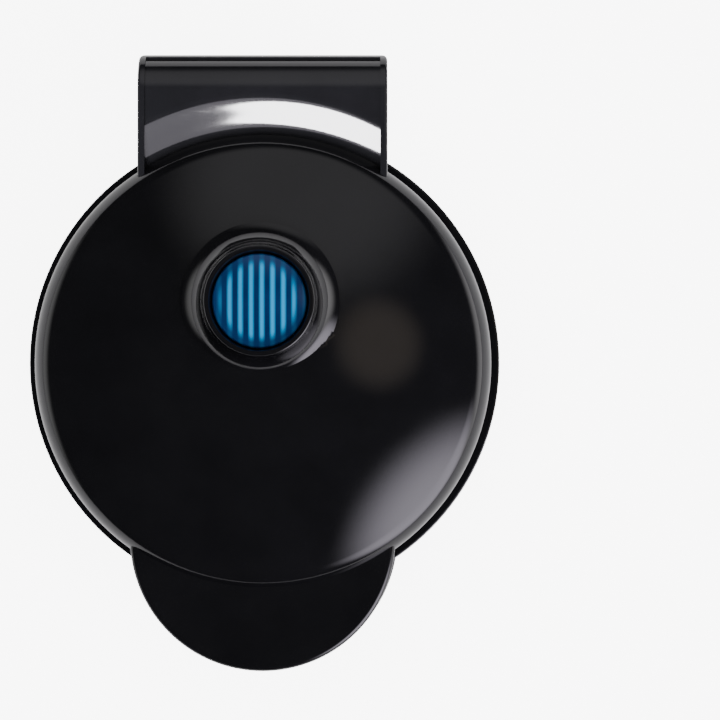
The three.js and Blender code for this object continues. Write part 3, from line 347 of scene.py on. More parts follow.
def addPaintedRibHighlights(finish):
    # painted highlight lines over the ribs inside the lens, which run front to back: lighter blue put
    # into the base colour where the ribs catch the light, faded out towards the lens rim
    ribHighlights = {"waveUnit": 20, "blue": (0.001, 0.34, 0.7, 1), "rise": 0.3, "turn": pi / 2,
              "inner": 8.5, "outer": 11.0, "centre": (0, 16)}
    tree = finish.node_tree
    shader = next(n for n in tree.nodes if n.type == "BSDF_PRINCIPLED")
    base = shader.inputs["Base Color"].links[0].from_socket
    place = addNode(tree, "ShaderNodeTexCoord")
    bands = addNode(tree, "ShaderNodeTexWave", wave_type="BANDS", bands_direction="X")
    setInputs(bands, {"Scale": 2 * pi / (ribHighlights["waveUnit"] * shared["ribPitch"] * mm),
                      "Distortion": 0.0, "Phase Offset": ribHighlights["turn"]})
    sharpen = addNode(tree, "ShaderNodeMapRange")
    setInputs(sharpen, {"From Min": ribHighlights["rise"], "From Max": 1.0})
    centred = addNode(tree, "ShaderNodeMapping")
    setInputs(centred, {"Location": (0, -ribHighlights["centre"][1] * mm, 0), "Scale": (1, 1, 0)})
    away = addNode(tree, "ShaderNodeVectorMath", operation="LENGTH")
    rimFade = addNode(tree, "ShaderNodeMapRange", interpolation_type="SMOOTHSTEP")
    setInputs(rimFade, {"From Min": ribHighlights["inner"] * mm, "From Max": ribHighlights["outer"] * mm,
                        "To Min": 1, "To Max": 0.08})
    masked = addNode(tree, "ShaderNodeMath", operation="MULTIPLY")
    blend = addNode(tree, "ShaderNodeMix", data_type="RGBA")
    # the painted highlight colour laid over the ribs
    blend.inputs["B"].default_value = ribHighlights["blue"]
    link = tree.links.new
    link(place.outputs["Object"], bands.inputs["Vector"])
    link(bands.outputs["Fac"], sharpen.inputs["Value"])
    link(place.outputs["Object"], centred.inputs["Vector"])
    link(centred.outputs["Vector"], away.inputs[0])
    link(away.outputs["Value"], rimFade.inputs["Value"])
    link(sharpen.outputs["Result"], masked.inputs[0])
    link(rimFade.outputs["Result"], masked.inputs[1])
    link(masked.outputs["Value"], blend.inputs["Factor"])
    link(base, blend.inputs["A"])
    link(blend.outputs["Result"], shader.inputs["Base Color"])


addPaintedRibHighlights(finishes["blue_lens"])
print("finishes ready")

lidValues = {
    "shoulder": 9.0, "shoulderX": 51.8, "wallTop": 41.5, "domeSlope": 65, "sphere": 131.57,
    "sphereZ": -69.59, "rimRound": 0.4, "handleRadius": 35.2, "handleTop": 46.5, "handleRound": 1.6,
    "handleSlopeStart": -61.3, "handleTipBottom": 40.0, "hoodTop": 47.0, "hoodFront": 46.8,
    "cheekRound": 0.7, "corner": 2.0, "railWidth": 1.9, "panelLow": 43.2, "panelHigh": 46.3,
    "panelFront": 44.8, "panelSkin": 0.7, "panelEnd": 27, "panelPast": 95, "panelAbove": 60,
    "valleyStart": 59, "valleyNear": 61.0, "valleyFar": 72.0, "valleyTop": 55, "valleySteps": 16,
    "lensY": 16.0, "lensHole": 12.4, "flareLow": 68.2, "flareTop": 70.1, "mouth": 13.0,
    "holeLow": 50, "holeTop": 73, "lensSeat": 55.3, "padRadius": 17.9, "padTop": 60.5,
    "collarRoot": 51.5, "collarFoot": 20.5, "collarLow": 60.4, "collarBend": (15.5, 63),
    "collarLip": 14.3, "collarLipLow": 69.2, "collarTop": 70.0, "lipRound": 0.6, "collarSteps": 14,
    "roomTop": 42.4, "roomLow": 17, "bore": 7.6, "rib": 5, "ribSpans": ((18.4, 21.4), (28.2, 32.1)),
    "webNear": 68.5, "webFar": 76.5, "webTop": 45, "pinRun": 2.2, "pinReach": 31.6,
}


def domeProfile(inset, bottom):
    v = lidValues
    curve = [(0, v["sphereZ"] + v["sphere"] - inset)]
    curve += arc(0, v["sphereZ"], v["sphere"] - inset, 90, v["domeSlope"], 22)[1:]
    curve += arc(v["shoulderX"], v["wallTop"], v["shoulder"] - inset, v["domeSlope"], 0, 18)[1:]
    radius = shared["lidRadius"] - inset
    if inset == 0:
        curve += arc(radius - v["rimRound"], bottom + v["rimRound"], v["rimRound"], 0, -90, 4)
    else:
        curve += [(radius, bottom)]
    return curve + [(0, bottom)]


def underUpperHandle(name, lift):
    v = lidValues
    far = -110  # past the handle's tip
    slope = (v["handleTipBottom"] - shared["lidRim"]) / (shared["back"] + v["handleSlopeStart"])
    start = shared["lidRim"] + lift
    tip = start + slope * (v["handleSlopeStart"] - far)
    return sideShape(name, [(far, 0), (0, 0), (0, start), (v["handleSlopeStart"], start),
                            (far, tip)], shared["far"])


def roundedPlan(half, low, high, corner, steps=6):
    plan = [(-half, low), (half, low)]
    plan += arc(half - corner, high - corner, corner, 0, 90, steps)
    plan += arc(-half + corner, high - corner, corner, 90, 180, steps)
    return plan


def makeHood():
    v, s = lidValues, shared
    under = asin((s["lidRim"] - s["hingeZ"]) / s["barrel"]) * 180 / pi
    outline = [(v["hoodFront"], s["lidRim"])]
    outline += arc(s["hingeY"], s["hingeZ"], s["barrel"], -180 - under, 90, 72)
    outline += [(v["hoodFront"], v["hoodTop"])]
    hood = sideShape("hood", outline, s["hingeHalf"])
    half = s["hingeHalf"] - s["weld"]
    roundEdges(hood, v["cheekRound"], 3, lambda x, y, z: abs(x) > half)
    keepWithin(hood, planShape("plan", roundedPlan(s["hingeHalf"] + s["slack"], 40,
                                                   s["back"] + s["slack"], v["corner"]), 20, 50))
    inside = s["hingeHalf"] - v["railWidth"]
    panel = [(v["panelFront"], v["panelHigh"])]
    panel += arc(s["hingeY"], s["hingeZ"], s["barrel"] - v["panelSkin"], 90, v["panelEnd"], 18)
    panel += [(v["panelPast"], 42), (v["panelPast"], v["panelAbove"]),
              (v["panelFront"], v["panelAbove"])]
    cutFrom(hood, sideShape("panel", panel, inside))
    start, near, far, steps = v["valleyStart"], v["valleyNear"], v["valleyFar"], v["valleySteps"]
    valley = [(start, v["panelLow"]), (near, v["panelLow"])]
    for i in range(1, steps + 1):  # a soft slope up from the dome, all along its edge
        rise = (1 - cos(pi * i / steps)) / 2
        valley.append((near + (far - near) * i / steps,
                       v["panelLow"] + (v["panelHigh"] + s["slack"] - v["panelLow"]) * rise))
    valley += [(far + 0.5, v["valleyTop"]), (start, v["valleyTop"]), (start, v["panelLow"])]
    ring = spun("valley", valley)
    keepWithin(ring, box("part", -inside, inside, 40, 80, 40, 60))
    cutFrom(hood, ring)
    return hood


def makeLid():
    v, s = lidValues, shared
    lid = spun("lid_body", domeProfile(0, s["lidRim"]))
    edgeRound = v["handleRound"]
    handle = [(0, s["lidRim"]), (v["handleRadius"], s["lidRim"])]
    handle += arc(v["handleRadius"] - edgeRound, v["handleTop"] - edgeRound, edgeRound, 0, 90, 8)
    handle += [(0, v["handleTop"])]
    joinTo(lid, spun("handle", handle, (0, s["handleY"])))
    root, foot, lip, lipRound = v["collarRoot"], v["collarFoot"], v["collarLip"], v["lipRound"]
    ends = ((foot, v["collarLow"]), v["collarBend"], (lip, v["collarLipLow"]))
    collar = [(0, root), (foot, root), ends[0]]
    for i in range(1, v["collarSteps"] + 1):  # one hollow curve from the dome to the lip
        t = i / v["collarSteps"]
        shares = ((1 - t) ** 2, 2 * t * (1 - t), t * t)
        collar.append(tuple(sum(w * end[k] for w, end in zip(shares, ends)) for k in (0, 1)))
    collar += arc(lip - lipRound, v["collarTop"] - lipRound, lipRound, 15, 90, 5)
    collar += [(0, v["collarTop"])]
    joinTo(lid, spun("collar", collar, (0, v["lensY"]), 96))
    cutFrom(lid, underUpperHandle("under", 0))
    pocket = rod("pocket", v["handleRadius"] - s["wall"], 0, v["handleTop"] - s["wall"], 0,
                 s["handleY"], 96)
    cutFrom(pocket, rod("keep", s["lidRadius"] + 0.5, -1, 60, sides=96))
    cutFrom(lid, pocket)
    front = s["lidRadius"] / 2
    slot = [(s["hingeY"], s["hingeZ"])]
    slot += [(s["hingeY"] + r * cos(radians(a)), s["hingeZ"] + r * sin(radians(a)))
             for r, a in ((20, -48), (30, -90))]
    slot += [(front, v["roomLow"]), (front, v["roomTop"]), (s["hingeY"], v["roomTop"])]
    inside = s["hingeHalf"] - s["wall"]
    room = sideShape("room", slot, inside)
    joinTo(room, rodAcross("bore", v["bore"], -inside, inside, s["hingeY"], s["hingeZ"], 64))
    cutFrom(room, rod("keep", s["lidRadius"], 0, 80, sides=96))
    hood = cutFrom(makeHood(), room, spun("bite", domeProfile(0.4, s["lidRim"] - 1)))
    cutFrom(lid, spun("inside", domeProfile(s["wall"], 0)))
    joinTo(lid, rod("pad", v["padRadius"], v["lensSeat"], v["padTop"], 0, v["lensY"], 64))
    hole = [(0, v["holeLow"]), (v["lensHole"], v["holeLow"]), (v["lensHole"], v["flareLow"]),
            (v["mouth"], v["flareTop"]), (v["mouth"], v["holeTop"]), (0, v["holeTop"])]
    cutFrom(lid, spun("hole", hole, (0, v["lensY"]), 96))
    for side in (-1, 1):
        for x0, x1 in v["ribSpans"]:
            rib = rodAcross("rib", v["rib"], side * x0, side * x1, s["hingeY"], s["hingeZ"])
            web = box("web", side * x0, side * x1, v["webNear"], v["webFar"], s["hingeZ"], v["webTop"])
            joinTo(hood, joinTo(rib, web))
    cutFrom(hood, rodAcross("pinRun", v["pinRun"], -v["pinReach"], v["pinReach"], s["hingeY"],
                            s["hingeZ"]))
    hood.name = hood.data.name = "hinge_hood"
    finishPiece(hood, "lid", "gloss_black", ["lid_shell"])
    finishPiece(lid, "lid", "gloss_black", ["lid_shell"])


makeLid()
print("lid made")

baseValues = {
    "bottom": 3.0, "edge": 18.0, "handleRadius": 36.0, "handleRound": 0.9, "rimRound": 0.6,
    "rootBottom": 12.0, "tipBottom": 22.0, "slopeStart": -45.5, "coverHole": 34.0,
    "heel": 4.5, "heelRise": 2, "lean": 2.5, "shelf": 2, "ledge": 2, "sideRound": 0.7,
    "roomHalf": 30.9, "roomFront": 50, "roomBack": 80.5, "roomFloor": 23,
    "saddleScrewX": 17.0, "postLow": 4, "post": 4.4, "postTop": 21.5, "well": 3.3, "wellTop": 17.8,
    "glandZ": 12.0,
    "glandPocket": [(0, 72.5), (5.1, 72.5), (5.1, 79.9), (7, 79.9), (7, 87.5), (0, 87.5)],
}


def bowlProfile(inset, top):
    v, s = baseValues, shared
    centre = s["baseRadius"] - v["edge"]
    curve = [(0, v["bottom"] + inset)]
    curve += arc(centre, v["bottom"] + v["edge"], v["edge"] - inset, -90, 0, 24)
    radius = s["baseRadius"] - inset
    if inset == 0:
        curve += arc(radius - v["rimRound"], top - v["rimRound"], v["rimRound"], 0, 90, 5)
    else:
        curve += [(radius, top)]
    return curve + [(0, top)]


def underLowerHandle(name, lift):
    v = baseValues
    return sideShape(name, [(-110, -5), (0, -5), (0, v["rootBottom"] + lift),
                            (v["slopeStart"], v["rootBottom"] + lift),
                            (-shared["back"], v["tipBottom"] + lift), (-110, v["tipBottom"] + lift)],
                     shared["far"])


def hingeBlock(name, inset):
    v, s = baseValues, shared
    low, behind = v["bottom"] + inset, s["hingeZ"] - s["barrel"] + v["shelf"]
    front, ledge, back = s["baseRadius"] / 2, s["hingeY"] - v["ledge"], s["back"] - inset
    outline = [(front, low), (back - v["heel"], low), (back - v["lean"], low + v["heelRise"]),
               (back, behind), (ledge, behind), (ledge, s["seam"]), (front, s["seam"])]
    half = s["hingeHalf"] - inset
    shape = sideShape(name, outline, half)
    if inset == 0:
        roundEdges(shape, v["sideRound"], 3, lambda x, y, z: abs(x) > half - s["weld"] and y > 60)
    plan = roundedPlan(half + s["slack"], front, back + s["slack"], lidValues["corner"])
    return keepWithin(shape, planShape("plan", plan, 0, s["seam"] + 1))


def makeBase():
    v, s = baseValues, shared
    base = spun("base_body", bowlProfile(0, s["seam"]))
    edgeRound = v["handleRound"]
    handle = [(0, 0), (v["handleRadius"], 0)]
    handle += arc(v["handleRadius"] - edgeRound, s["seam"] - edgeRound, edgeRound, 0, 90, 6)
    handle += [(0, s["seam"])]
    grip = spun("grip", handle, (0, s["handleY"]))
    cutFrom(grip, underLowerHandle("under", 0))
    joinTo(base, grip)
    block = hingeBlock("block", 0)
    cutFrom(block, spun("glandPocket", v["glandPocket"], (0, v["glandZ"]), 48, alongY=True))
    cutFrom(block, rodAcross("cradle", s["cradle"], -s["far"], s["far"], s["hingeY"],
                             s["hingeZ"], 96))
    joinTo(base, block)
    bowl = spun("inside", bowlProfile(s["wall"], s["seam"] + 1))
    pocket = rod("pocket", v["handleRadius"] - s["wall"], 0, s["seam"] + 1, 0, s["handleY"], 96)
    cutFrom(pocket, underLowerHandle("under", s["wall"]),
            rod("keep", s["baseRadius"], -1, 60, sides=s["roundSteps"]))
    room = hingeBlock("room", s["wall"])
    joinTo(room, box("above", -v["roomHalf"], v["roomHalf"], v["roomFront"], v["roomBack"],
                     v["roomFloor"], s["seam"] + 2))
    cutFrom(room, rod("keep", s["baseRadius"], -1, 60, sides=s["roundSteps"]))
    cutFrom(base, bowl, pocket, room,
            rod("coverHole", v["coverHole"], 0, v["bottom"] + s["wall"] + 1, sides=96))
    for side in (-1, 1):
        x = side * v["saddleScrewX"]
        joinTo(base, rod("post", v["post"], v["postLow"], v["postTop"], x, s["hingeY"]))
        cutFrom(base, rod("well", v["well"], 0, v["wellTop"], x, s["hingeY"]))
    finishPiece(base, "base", "gloss_black", ["base_shell"])


makeBase()
print("base made")


coverValues = {"lower": 33.5, "upper": 32.7, "thickness": 2.2, "edge": 0.3, "upperGap": 0.5,
               "sides": 128}


def makeHandleCovers():
    v, s = coverValues, shared
    lower = rod("lower_handle_lid", v["lower"], s["seam"] - v["thickness"], s["seam"], 0,
                s["handleY"], v["sides"])
    roundEdges(lower, v["edge"], 2, lambda x, y, z: z > s["seam"] - s["slack"])
    cutFrom(lower, rod("keep", s["baseRadius"] + s["gap"], 0, 40, sides=s["roundSteps"]))
    finishPiece(lower, "base", "gloss_black", ["lower_handle_cover"])
    upper = rod("upper_handle_lid", v["upper"], 0, 46, 0, s["handleY"], v["sides"])
    keepWithin(upper, underUpperHandle("within", v["thickness"]))
    cutFrom(upper, underUpperHandle("under", 0),
            rod("keep", s["lidRadius"] + v["upperGap"], -1, 60, sides=s["roundSteps"]))
    finishPiece(upper, "lid", "gloss_black", ["upper_handle_cover"])


makeHandleCovers()
print("handle covers made")

lensValues = {"radius": 12.1, "edgeZ": 67.8, "apexZ": 69.2, "flange": 17.4, "flangeTop": 55.0,
              "thickness": 1.2, "edgeRound": 0.5, "crown": 0.97, "droop": 0.8, "innerReach": 0.9,
              "steps": 12, "ribs": 8, "ribHalf": 0.55, "ribDrop": 2.0, "ribInset": 1.6,
              "ribTop": 0.4}


def makeLens():
    v = lensValues
    outer = [(0, v["apexZ"])]
    rise = v["apexZ"] - v["edgeZ"]
    for i in range(1, v["steps"] + 1):
        t = i / v["steps"]
        outer.append((v["radius"] * t * v["crown"], v["apexZ"] - rise * t * t * v["droop"]))
    outer += arc(v["radius"] - v["edgeRound"], v["edgeZ"] - 0.3, v["edgeRound"], 60, 0, 4)
    low, bore = v["flangeTop"] - v["thickness"], v["radius"] - v["thickness"]
    outer += [(v["radius"], v["flangeTop"]), (v["flange"], v["flangeTop"]), (v["flange"], low),
              (bore, low), (bore, v["edgeZ"] - rise)]
    inner = [(v["radius"] * t * v["innerReach"], v["apexZ"] - 1.6 - rise * t * t)
             for t in (0.8, 0.6, 0.4, 0.2, 0)]
    lens = spun("lens_cap", outer + inner, (0, lidValues["lensY"]), 96)
    for i in range(v["ribs"]):
        x = (i - (v["ribs"] - 1) / 2) * shared["ribPitch"]
        half, top = sqrt((v["radius"] - v["ribInset"]) ** 2 - x * x), v["edgeZ"] - v["ribTop"]
        joinTo(lens, box("rib", x - v["ribHalf"], x + v["ribHalf"], lidValues["lensY"] - half,
                         lidValues["lensY"] + half, top - v["ribDrop"], top))
    finishPiece(lens, "lid", "blue_lens", ["indicator_lens"])


makeLens()
print("lens made")

plateValues = {
    "radius": 51.0, "face": 0.4, "rim": 3.0, "flange": 52.5, "recess": 7.5, "panWall": 2.2,
    "panFloor": 2.5, "lobe": 28.8, "lobeX": 18.2, "lobeY": 5.3, "tipY": -47.7, "pegPitch": 14.6,
    "pegRoot": 9.7, "pegTip": 8.2, "pegHeight": 4.5, "pegEdge": 4.5, "pegY": -6.8, "pegKeep": 2.0,
    "pegRound": 0.7, "sink": 0.6, "skirt": 49.2, "edge": 0.5, "recessRound": 0.6,
}


def heartOutline(grow):
    v = plateValues
    away = hypot(v["lobeX"], v["lobeY"] - v["tipY"])
    half = atan2(v["lobeX"], v["lobeY"] - v["tipY"]) + asin(v["lobe"] / away)
    radius = v["lobe"] + grow
    notch = acos(v["lobeX"] / radius) * 180 / pi
    degrees = half * 180 / pi
    points = [(0, v["tipY"] - grow / sin(half))]
    points += arc(v["lobeX"], v["lobeY"], radius, -degrees, 180 - notch, 30)
    points += arc(-v["lobeX"], v["lobeY"], radius, notch, 180 + degrees, 30)[1:]
    return points, half


def insideHeart(x, y, margin):
    v = plateValues
    half = heartOutline(0)[1]
    side, up = abs(x), y - v["tipY"]
    along = side * sin(half) + up * cos(half)
    fromEdge = up * sin(half) - side * cos(half)
    straight = sqrt(hypot(v["lobeX"], v["lobeY"] - v["tipY"]) ** 2 - v["lobe"] ** 2)
    return hypot(side - v["lobeX"], y - v["lobeY"]) < v["lobe"] - margin or (
        fromEdge > margin and along < straight)


def makePegs(floor):
    v = plateValues
    half, top = v["pegTip"] / 2, floor + v["pegHeight"]
    peg = box("peg", -half, half, -half, half, floor - 1, top)
    bpy.ops.object.mode_set(mode="EDIT")
    bpy.ops.mesh.select_mode(type="FACE")
    bpy.ops.object.mode_set(mode="OBJECT")
    for side in peg.data.polygons:
        side.select = side.normal.z < -0.5
    bpy.ops.object.mode_set(mode="EDIT")
    grown = (v["pegRoot"] + (v["pegRoot"] - v["pegTip"]) / v["pegHeight"]) / v["pegTip"]
    bpy.ops.transform.resize(value=(grown, grown, 1))
    bpy.ops.object.mode_set(mode="OBJECT")
    roundEdges(peg, v["pegRound"], 3, lambda x, y, z: z > top - shared["slack"] or x != 0)
    steps = [k * v["pegPitch"] for k in (-2.5, -1.5, -0.5, 0.5, 1.5, 2.5)]
    places = [(x, y + v["pegY"]) for x in steps for y in steps
              if insideHeart(x, y + v["pegY"], v["pegKeep"])]
    copies = [copyOf(peg, "peg", (x, y, 0)) for x, y in places]
    bpy.data.objects.remove(peg, do_unlink=True)
    workOn(copies[0])
    for made in copies[1:]:
        made.select_set(True)
    bpy.ops.object.join()
    field = bpy.context.object
    outline = heartOutline(-v["pegEdge"])[0]
    return keepWithin(field, planShape("within", outline, floor - 2, top + 1))


def makePlates():
    v, s = plateValues, shared
    face = s["parting"] - v["sink"] + v["face"]
    low, skirtLow = face - v["rim"], face - 2 * v["rim"]
    rim = [(0, low), (v["skirt"], low), (v["skirt"], skirtLow), (v["flange"], skirtLow),
           (v["flange"], low), (v["radius"], low)]
    rim += arc(v["radius"] - v["edge"], face - v["edge"], v["edge"], 0, 90, 4) + [(0, face)]
    plate = spun("lower_plate", rim)
    floor = face - v["recess"]
    joinTo(plate, planShape("pan", heartOutline(v["panWall"])[0], floor - v["panFloor"], face - 1))
    cutFrom(plate, planShape("recess", heartOutline(0)[0], floor, face + 2))
    edge = heartOutline(0)[0]
    roundEdges(plate, v["recessRound"], 3, lambda x, y, z: abs(z - face) < s["slack"] and min(
        hypot(x - a, y - b) for a, b in edge) < 0.05)
    joinTo(plate, makePegs(floor))
    upper = copyOf(plate, "upper_plate", turned=(pi, "Y", (0, 0, s["parting"])))
    finishPiece(plate, "base", "non_stick", ["lower_cooking_plate"])
    finishPiece(upper, "lid", "non_stick", ["upper_cooking_plate"])


makePlates()
print("cooking plates made")

screwValues = {"head": 2.0, "headHeight": 0.9, "shank": 1.0, "length": 10.0, "slotHalf": 0.35,
               "slotReach": 1.2, "slotDepth": 0.55, "edge": 0.3, "point": 1.2,
               "angles": (35, 145, 215, 325)}


def makeScrew(name, head, headHeight, shank, length):
    # face up at the origin, with a cross recess
    v = screwValues
    curve = [(0, 0)] + arc(head - v["edge"], -v["edge"], v["edge"], 90, 0, 4)
    curve += [(head, -headHeight), (shank, -headHeight), (shank, -headHeight - length + v["point"]),
              (0, -headHeight - length)]
    screw = spun(name, curve, steps=32)
    reach = v["slotReach"] * head / 2
    for wide, deep in ((reach, v["slotHalf"]), (v["slotHalf"], reach)):
        cutFrom(screw, box("slot", -wide, wide, -deep, deep, -v["slotDepth"], 1))
    return screw


def placeScrews(first, names, body, places, over=False):
    for name, (x, y, z) in zip(names, places):
        turned = (pi, "Y", (0, 0, 0)) if over else None
        made = copyOf(first, name.replace("_screw", "_drive_screw"), (x, y, z), turned)
        finishPiece(made, body, "steel", [name])
    bpy.data.objects.remove(first, do_unlink=True)


ringValues = {"bore": 51.3, "thickness": 2.2, "chamfer": 0.3, "seat": 2.3, "seatDepth": 1.2,
              "hole": 1.35}


def ringHoles(ring, radius, face, down):
    v = ringValues
    for degrees in screwValues["angles"]:
        x, y = radius * cos(radians(degrees)), radius * sin(radians(degrees))
        low, high = (face - v["seatDepth"], face + 1) if down else (face - 1, face + v["seatDepth"])
        cutFrom(ring, rod("seat", v["seat"], low, high, x, y),
                rod("through", v["hole"], face - 4, face + 4, x, y))


def makeRings():
    s, r, v = shared, ringValues, screwValues
    bore, chamfer = r["bore"], r["chamfer"]
    for name, node, body, outer, face, way, screwRadius in (
            ("lower_ring", "base_trim_ring", "base", 61.0, s["seam"], -1, 58.3),
            ("upper_ring", "lid_trim_ring", "lid", 58.3, s["lidRim"], 1, 55.6)):
        other, eased = face + way * r["thickness"], face + way * chamfer
        curve = [(bore, other), (outer, other), (outer, eased), (outer - chamfer, face),
                 (bore + chamfer, face), (bore, eased), (bore, other)]
        ring = spun(name, curve)
        ringHoles(ring, screwRadius, face, way < 0)
        finishPiece(ring, body, "matt_black", [node])
        places = [(screwRadius * cos(radians(a)), screwRadius * sin(radians(a)), face)
                  for a in screwValues["angles"]]
        if way > 0:
            places = [(-x, y, z) for x, y, z in places]
        kind = "base_ring_screw" if way < 0 else "lid_ring_screw"
        placeScrews(makeScrew("screw", v["head"], v["headHeight"], v["shank"], v["length"]),
                    [f"{kind}_{i + 1}" for i in range(4)], body, places, over=way > 0)


makeRings()
print("rings and their screws made")

underValues = {"cover": 33.7, "coverLow": 3.0, "coverTop": 4.6, "screwRadius": 30.6,
               "screwAngles": (30, 150, 270), "ventLength": 16.0, "ventWidth": 2.0, "ventPitch": 5.0,
               "ventX": 10.0, "footRadius": 5.0, "footRound": 0.8,
               "coverEdge": 0.4, "screwZ": 1.5, "hole": 1.65,
               "screw": dict(head=2.8, headHeight=1.2, shank=1.15, length=8),
               "dimple": [(0, 0.25), (2.6, 0.25), (3.0, 0)],
               "plug": [(5.0, 2.7), (1.9, 2.7), (1.9, 5.5), (2.8, 5.5), (1.5, 7.2), (0, 7.2)],
               "gland": [(3.3, 72), (4.8, 72), (4.8, 80.2), (6.5, 80.2), (6.5, 81.3), (5.9, 81.9),
                         (3.9, 81.9), (3.3, 81.3), (3.3, 72)],
               "feet": {"front_left": (-28.3, -28.3), "front_right": (28.3, -28.3),
                        "rear_left": (-24, 70), "rear_right": (24, 70)}}


def makeUnderside():
    v = underValues
    edge = v["coverEdge"]
    curve = [(0, v["coverLow"])] + arc(v["cover"] - edge, v["coverLow"] + edge, edge, -90, 0, 4)
    curve += [(v["cover"], v["coverTop"]), (0, v["coverTop"])]
    cover = spun("vent_cover", curve)
    half = v["ventLength"] / 2 - v["ventWidth"] / 2
    for row in range(-2, 3):
        for side in (-1, 1):
            x, y = side * v["ventX"], row * v["ventPitch"]
            vent = arc(x + half, y, v["ventWidth"] / 2, -90, 90, 8)
            vent += arc(x - half, y, v["ventWidth"] / 2, 90, 270, 8)
            cutFrom(cover, planShape("vent", vent, 2, 6))
    places = [(v["screwRadius"] * cos(radians(a)), v["screwRadius"] * sin(radians(a)), v["screwZ"])
              for a in v["screwAngles"]]
    for x, y, z in places:
        cutFrom(cover, rod("through", v["hole"], 2, 6, x, y))
    finishPiece(cover, "base", "matt_black", ["bottom_cover"])
    placeScrews(makeScrew("screw", **v["screw"]), [f"bottom_cover_screw_{i + 1}" for i in range(3)],
                "base", places, over=True)
    edge = v["footRound"]
    curve = v["dimple"] + arc(v["footRadius"] - edge, edge, edge, -90, 0, 5) + v["plug"]
    foot = spun("foot", curve, steps=48)
    for name, (x, y) in v["feet"].items():
        made = copyOf(foot, f"{name}_pad", (x, y, 0))
        finishPiece(made, "base", "rubber", [f"{name}_foot"])
    bpy.data.objects.remove(foot, do_unlink=True)
    gland = spun("cord_bush", v["gland"], (0, baseValues["glandZ"]), 48, alongY=True)
    finishPiece(gland, "base", "rubber", ["cord_gland"])


makeUnderside()
print("underside made")


saddleValues = {"thickness": 2, "rear": -58, "front": -147, "near": 22, "far": 27.6, "hub": 4.6,
                "postY": (60.2, 63.2), "postZ": (24.4, 38.6), "beamZ": (33.8, 38.6), "boss": 4.4,
                "bossZ": (21.8, 26), "pin": 2.1}


def makeSaddle():
    v, s = saddleValues, shared
    outline = arc(s["hingeY"], s["hingeZ"], s["cradle"] + v["thickness"], v["rear"], v["front"], 30)
    outline += arc(s["hingeY"], s["hingeZ"], s["cradle"], v["front"], v["rear"], 30)
    saddle = sideShape("hinge_cradle", outline, s["hingeHalf"] - s["wall"] - s["gap"])
    for side in (-1, 1):
        x0, x1 = side * v["near"], side * v["far"]
        joinTo(saddle, rodAcross("hub", v["hub"], x0, x1, s["hingeY"], s["hingeZ"], 48),
               box("post", x0, x1, *v["postY"], *v["postZ"]),
               box("beam", x0, x1, v["postY"][0], s["hingeY"], *v["beamZ"]),
               rod("boss", v["boss"], *v["bossZ"], side * baseValues["saddleScrewX"], s["hingeY"]))
    cutFrom(saddle, rodAcross("bore", v["pin"], -30, 30, s["hingeY"], s["hingeZ"]),
            rod("keep", s["baseRadius"] + s["gap"], 0, s["seam"] + 0.5, sides=s["roundSteps"]))
    finishPiece(saddle, "base", "gloss_black", ["hinge_saddle"])


makeSaddle()
print("hinge saddle made")

# the pieces inside keep their own shape and get their finish
slotOf = {row["node"]: row["material_slot"] for row in frame["record"].get("subparts", [])}
for name, piece in frame["nodes"].items():
    if not piece.hide_render:
        piece.data.materials.clear()
        piece.data.materials.append(finishes[slotOf[name]])
print("inner pieces finished")

viewValues = {"place": (25.8, 0.8, 723.0), "lens": 127.9, "nearest": 0.02}
bpy.ops.object.camera_add(location=Vector(viewValues["place"]) * mm, rotation=(0, 0, 0))
camera = bpy.context.object
camera.data.lens = viewValues["lens"]
camera.data.clip_start = viewValues["nearest"]
bpy.context.scene.camera = camera

floorValues = {"size": 6, "colour": (0.9, 0.9, 0.9, 1), "roughness": 0.9, "glow": 7}
deselectAll()
bpy.ops.mesh.primitive_plane_add(size=floorValues["size"], location=(0, 0, 0))
floor = applyPlace("floor")
floorFinish = bpy.data.materials.new("paleFloor")
floorFinish.use_nodes = True
floorShader = floorFinish.node_tree.nodes["Principled BSDF"]
setInputs(floorShader, {"Base Color": floorValues["colour"], "Roughness": floorValues["roughness"],
                        "Emission Color": (1, 1, 1, 1)})
seenAs = addNode(floorFinish.node_tree, "ShaderNodeLightPath")  # pale to the eye, not a mirror's lamp
glow = addNode(floorFinish.node_tree, "ShaderNodeMath", operation="MULTIPLY")
glow.inputs[1].default_value = floorValues["glow"]
floorFinish.node_tree.links.new(seenAs.outputs["Is Camera Ray"], glow.inputs[0])
floorFinish.node_tree.links.new(glow.outputs["Value"], floorShader.inputs["Emission Strength"])
floor.data.materials.append(floorFinish)

# soft lit areas of the studio round the object: degrees round from +X, degrees off upright,
# degrees to the full and the faded edge, then strength and tint
studioValues = {
    "dim": 0.02,
    "areas": {
        "frontRight": dict(around=-42, off=67, full=6, faded=32, strength=6.6, tint=(0.93, 0.88, 1)),
        "right": dict(around=4, off=106, full=14, faded=46, strength=2.9, tint=(1, 0.98, 1)),
        "left": dict(around=178, off=106, full=14, faded=44, strength=1.6, tint=(1, 1, 1)),
        "back": dict(around=80, off=46, full=10, faded=38, strength=0.6, tint=(1, 0.98, 1)),
        "patch": dict(around=10, off=28, full=2, faded=14, strength=0.6, tint=(1, 0.84, 0.7)),
    },
    "fill": dict(height=1.4, size=1.6, power=32),
}


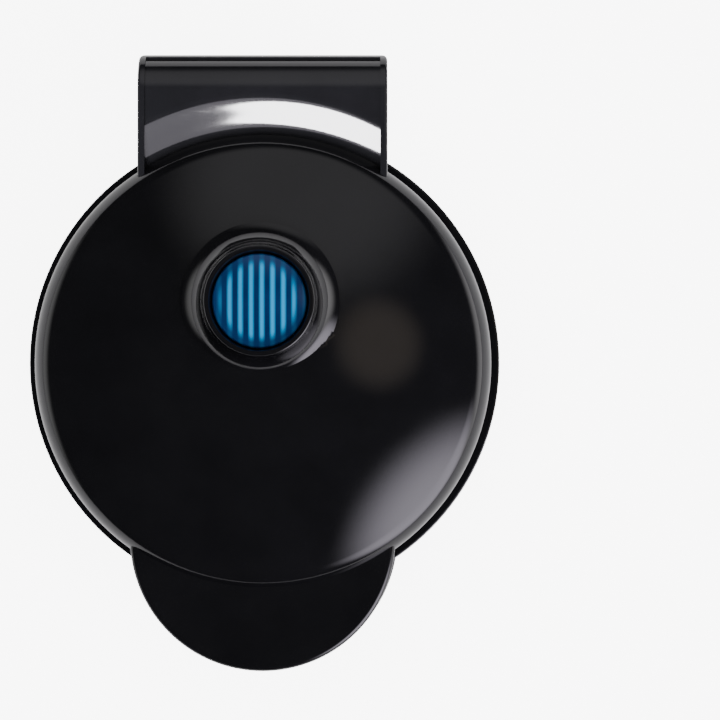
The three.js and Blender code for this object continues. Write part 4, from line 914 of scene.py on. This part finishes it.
def makeStudio(values):
    world = bpy.data.worlds.new("studio")
    bpy.context.scene.world = world
    world.use_nodes = True
    tree = world.node_tree
    link = tree.links.new
    place = addNode(tree, "ShaderNodeTexCoord")
    total = None
    for area in values["areas"].values():
        a, e = radians(area["around"]), radians(area["off"])
        towards = addNode(tree, "ShaderNodeVectorMath", operation="DOT_PRODUCT")
        towards.inputs[1].default_value = (sin(e) * cos(a), sin(e) * sin(a), cos(e))
        fade = addNode(tree, "ShaderNodeMapRange", interpolation_type="SMOOTHERSTEP")
        setInputs(fade, {"From Min": cos(radians(area["faded"])), "From Max": cos(radians(area["full"])),
                         "To Min": 0, "To Max": area["strength"]})
        tinted = addNode(tree, "ShaderNodeVectorMath", operation="SCALE")
        tinted.inputs[0].default_value = area["tint"]
        link(place.outputs["Generated"], towards.inputs[0])
        link(towards.outputs["Value"], fade.inputs["Value"])
        link(fade.outputs["Result"], tinted.inputs["Scale"])
        added = addNode(tree, "ShaderNodeVectorMath", operation="ADD")
        added.inputs[0].default_value = (values["dim"],) * 3
        if total:
            link(total, added.inputs[0])
        link(tinted.outputs["Vector"], added.inputs[1])
        total = added.outputs["Vector"]
    link(total, tree.nodes["Background"].inputs["Color"])
    fill = values["fill"]
    deselectAll()
    bpy.ops.object.light_add(type="AREA", location=(0, 0, fill["height"]))
    lamp = bpy.context.object
    lamp.name = "overheadFill"
    lamp.data.size, lamp.data.energy = fill["size"], fill["power"]
    lamp.visible_glossy = False


def lightHood(lights):
    # narrow soft lights that only the hood's sloping panel takes
    only = bpy.data.collections.new("hoodOnly")
    only.objects.link(bpy.data.objects["hinge_hood"])
    for name, v in lights.items():
        deselectAll()
        a, e = radians(v["around"]), radians(v["off"])
        spot = Vector((sin(e) * cos(a), sin(e) * sin(a), cos(e))) * v["far"]
        bpy.ops.object.light_add(type="AREA", location=spot)
        lamp = bpy.context.object
        lamp.name = name
        lamp.data.shape = "ELLIPSE"
        lamp.data.size, lamp.data.size_y = v["size"]
        lamp.data.energy, lamp.data.color = v["power"], v["tint"]
        lamp.rotation_euler = (-spot).to_track_quat("-Z", "Y").to_euler()
        lamp.light_linking.receiver_collection = only


hoodLights = {
    "hoodRight": dict(around=-106, off=34, far=0.8, size=(0.3, 0.34), power=26, tint=(0.98, 0.97, 1)),
    "hoodWide": dict(around=-84, off=30, far=0.8, size=(0.6, 0.5), power=2, tint=(0.94, 0.9, 1)),
}

makeStudio(studioValues)
lightHood(hoodLights)
print("camera and light set")
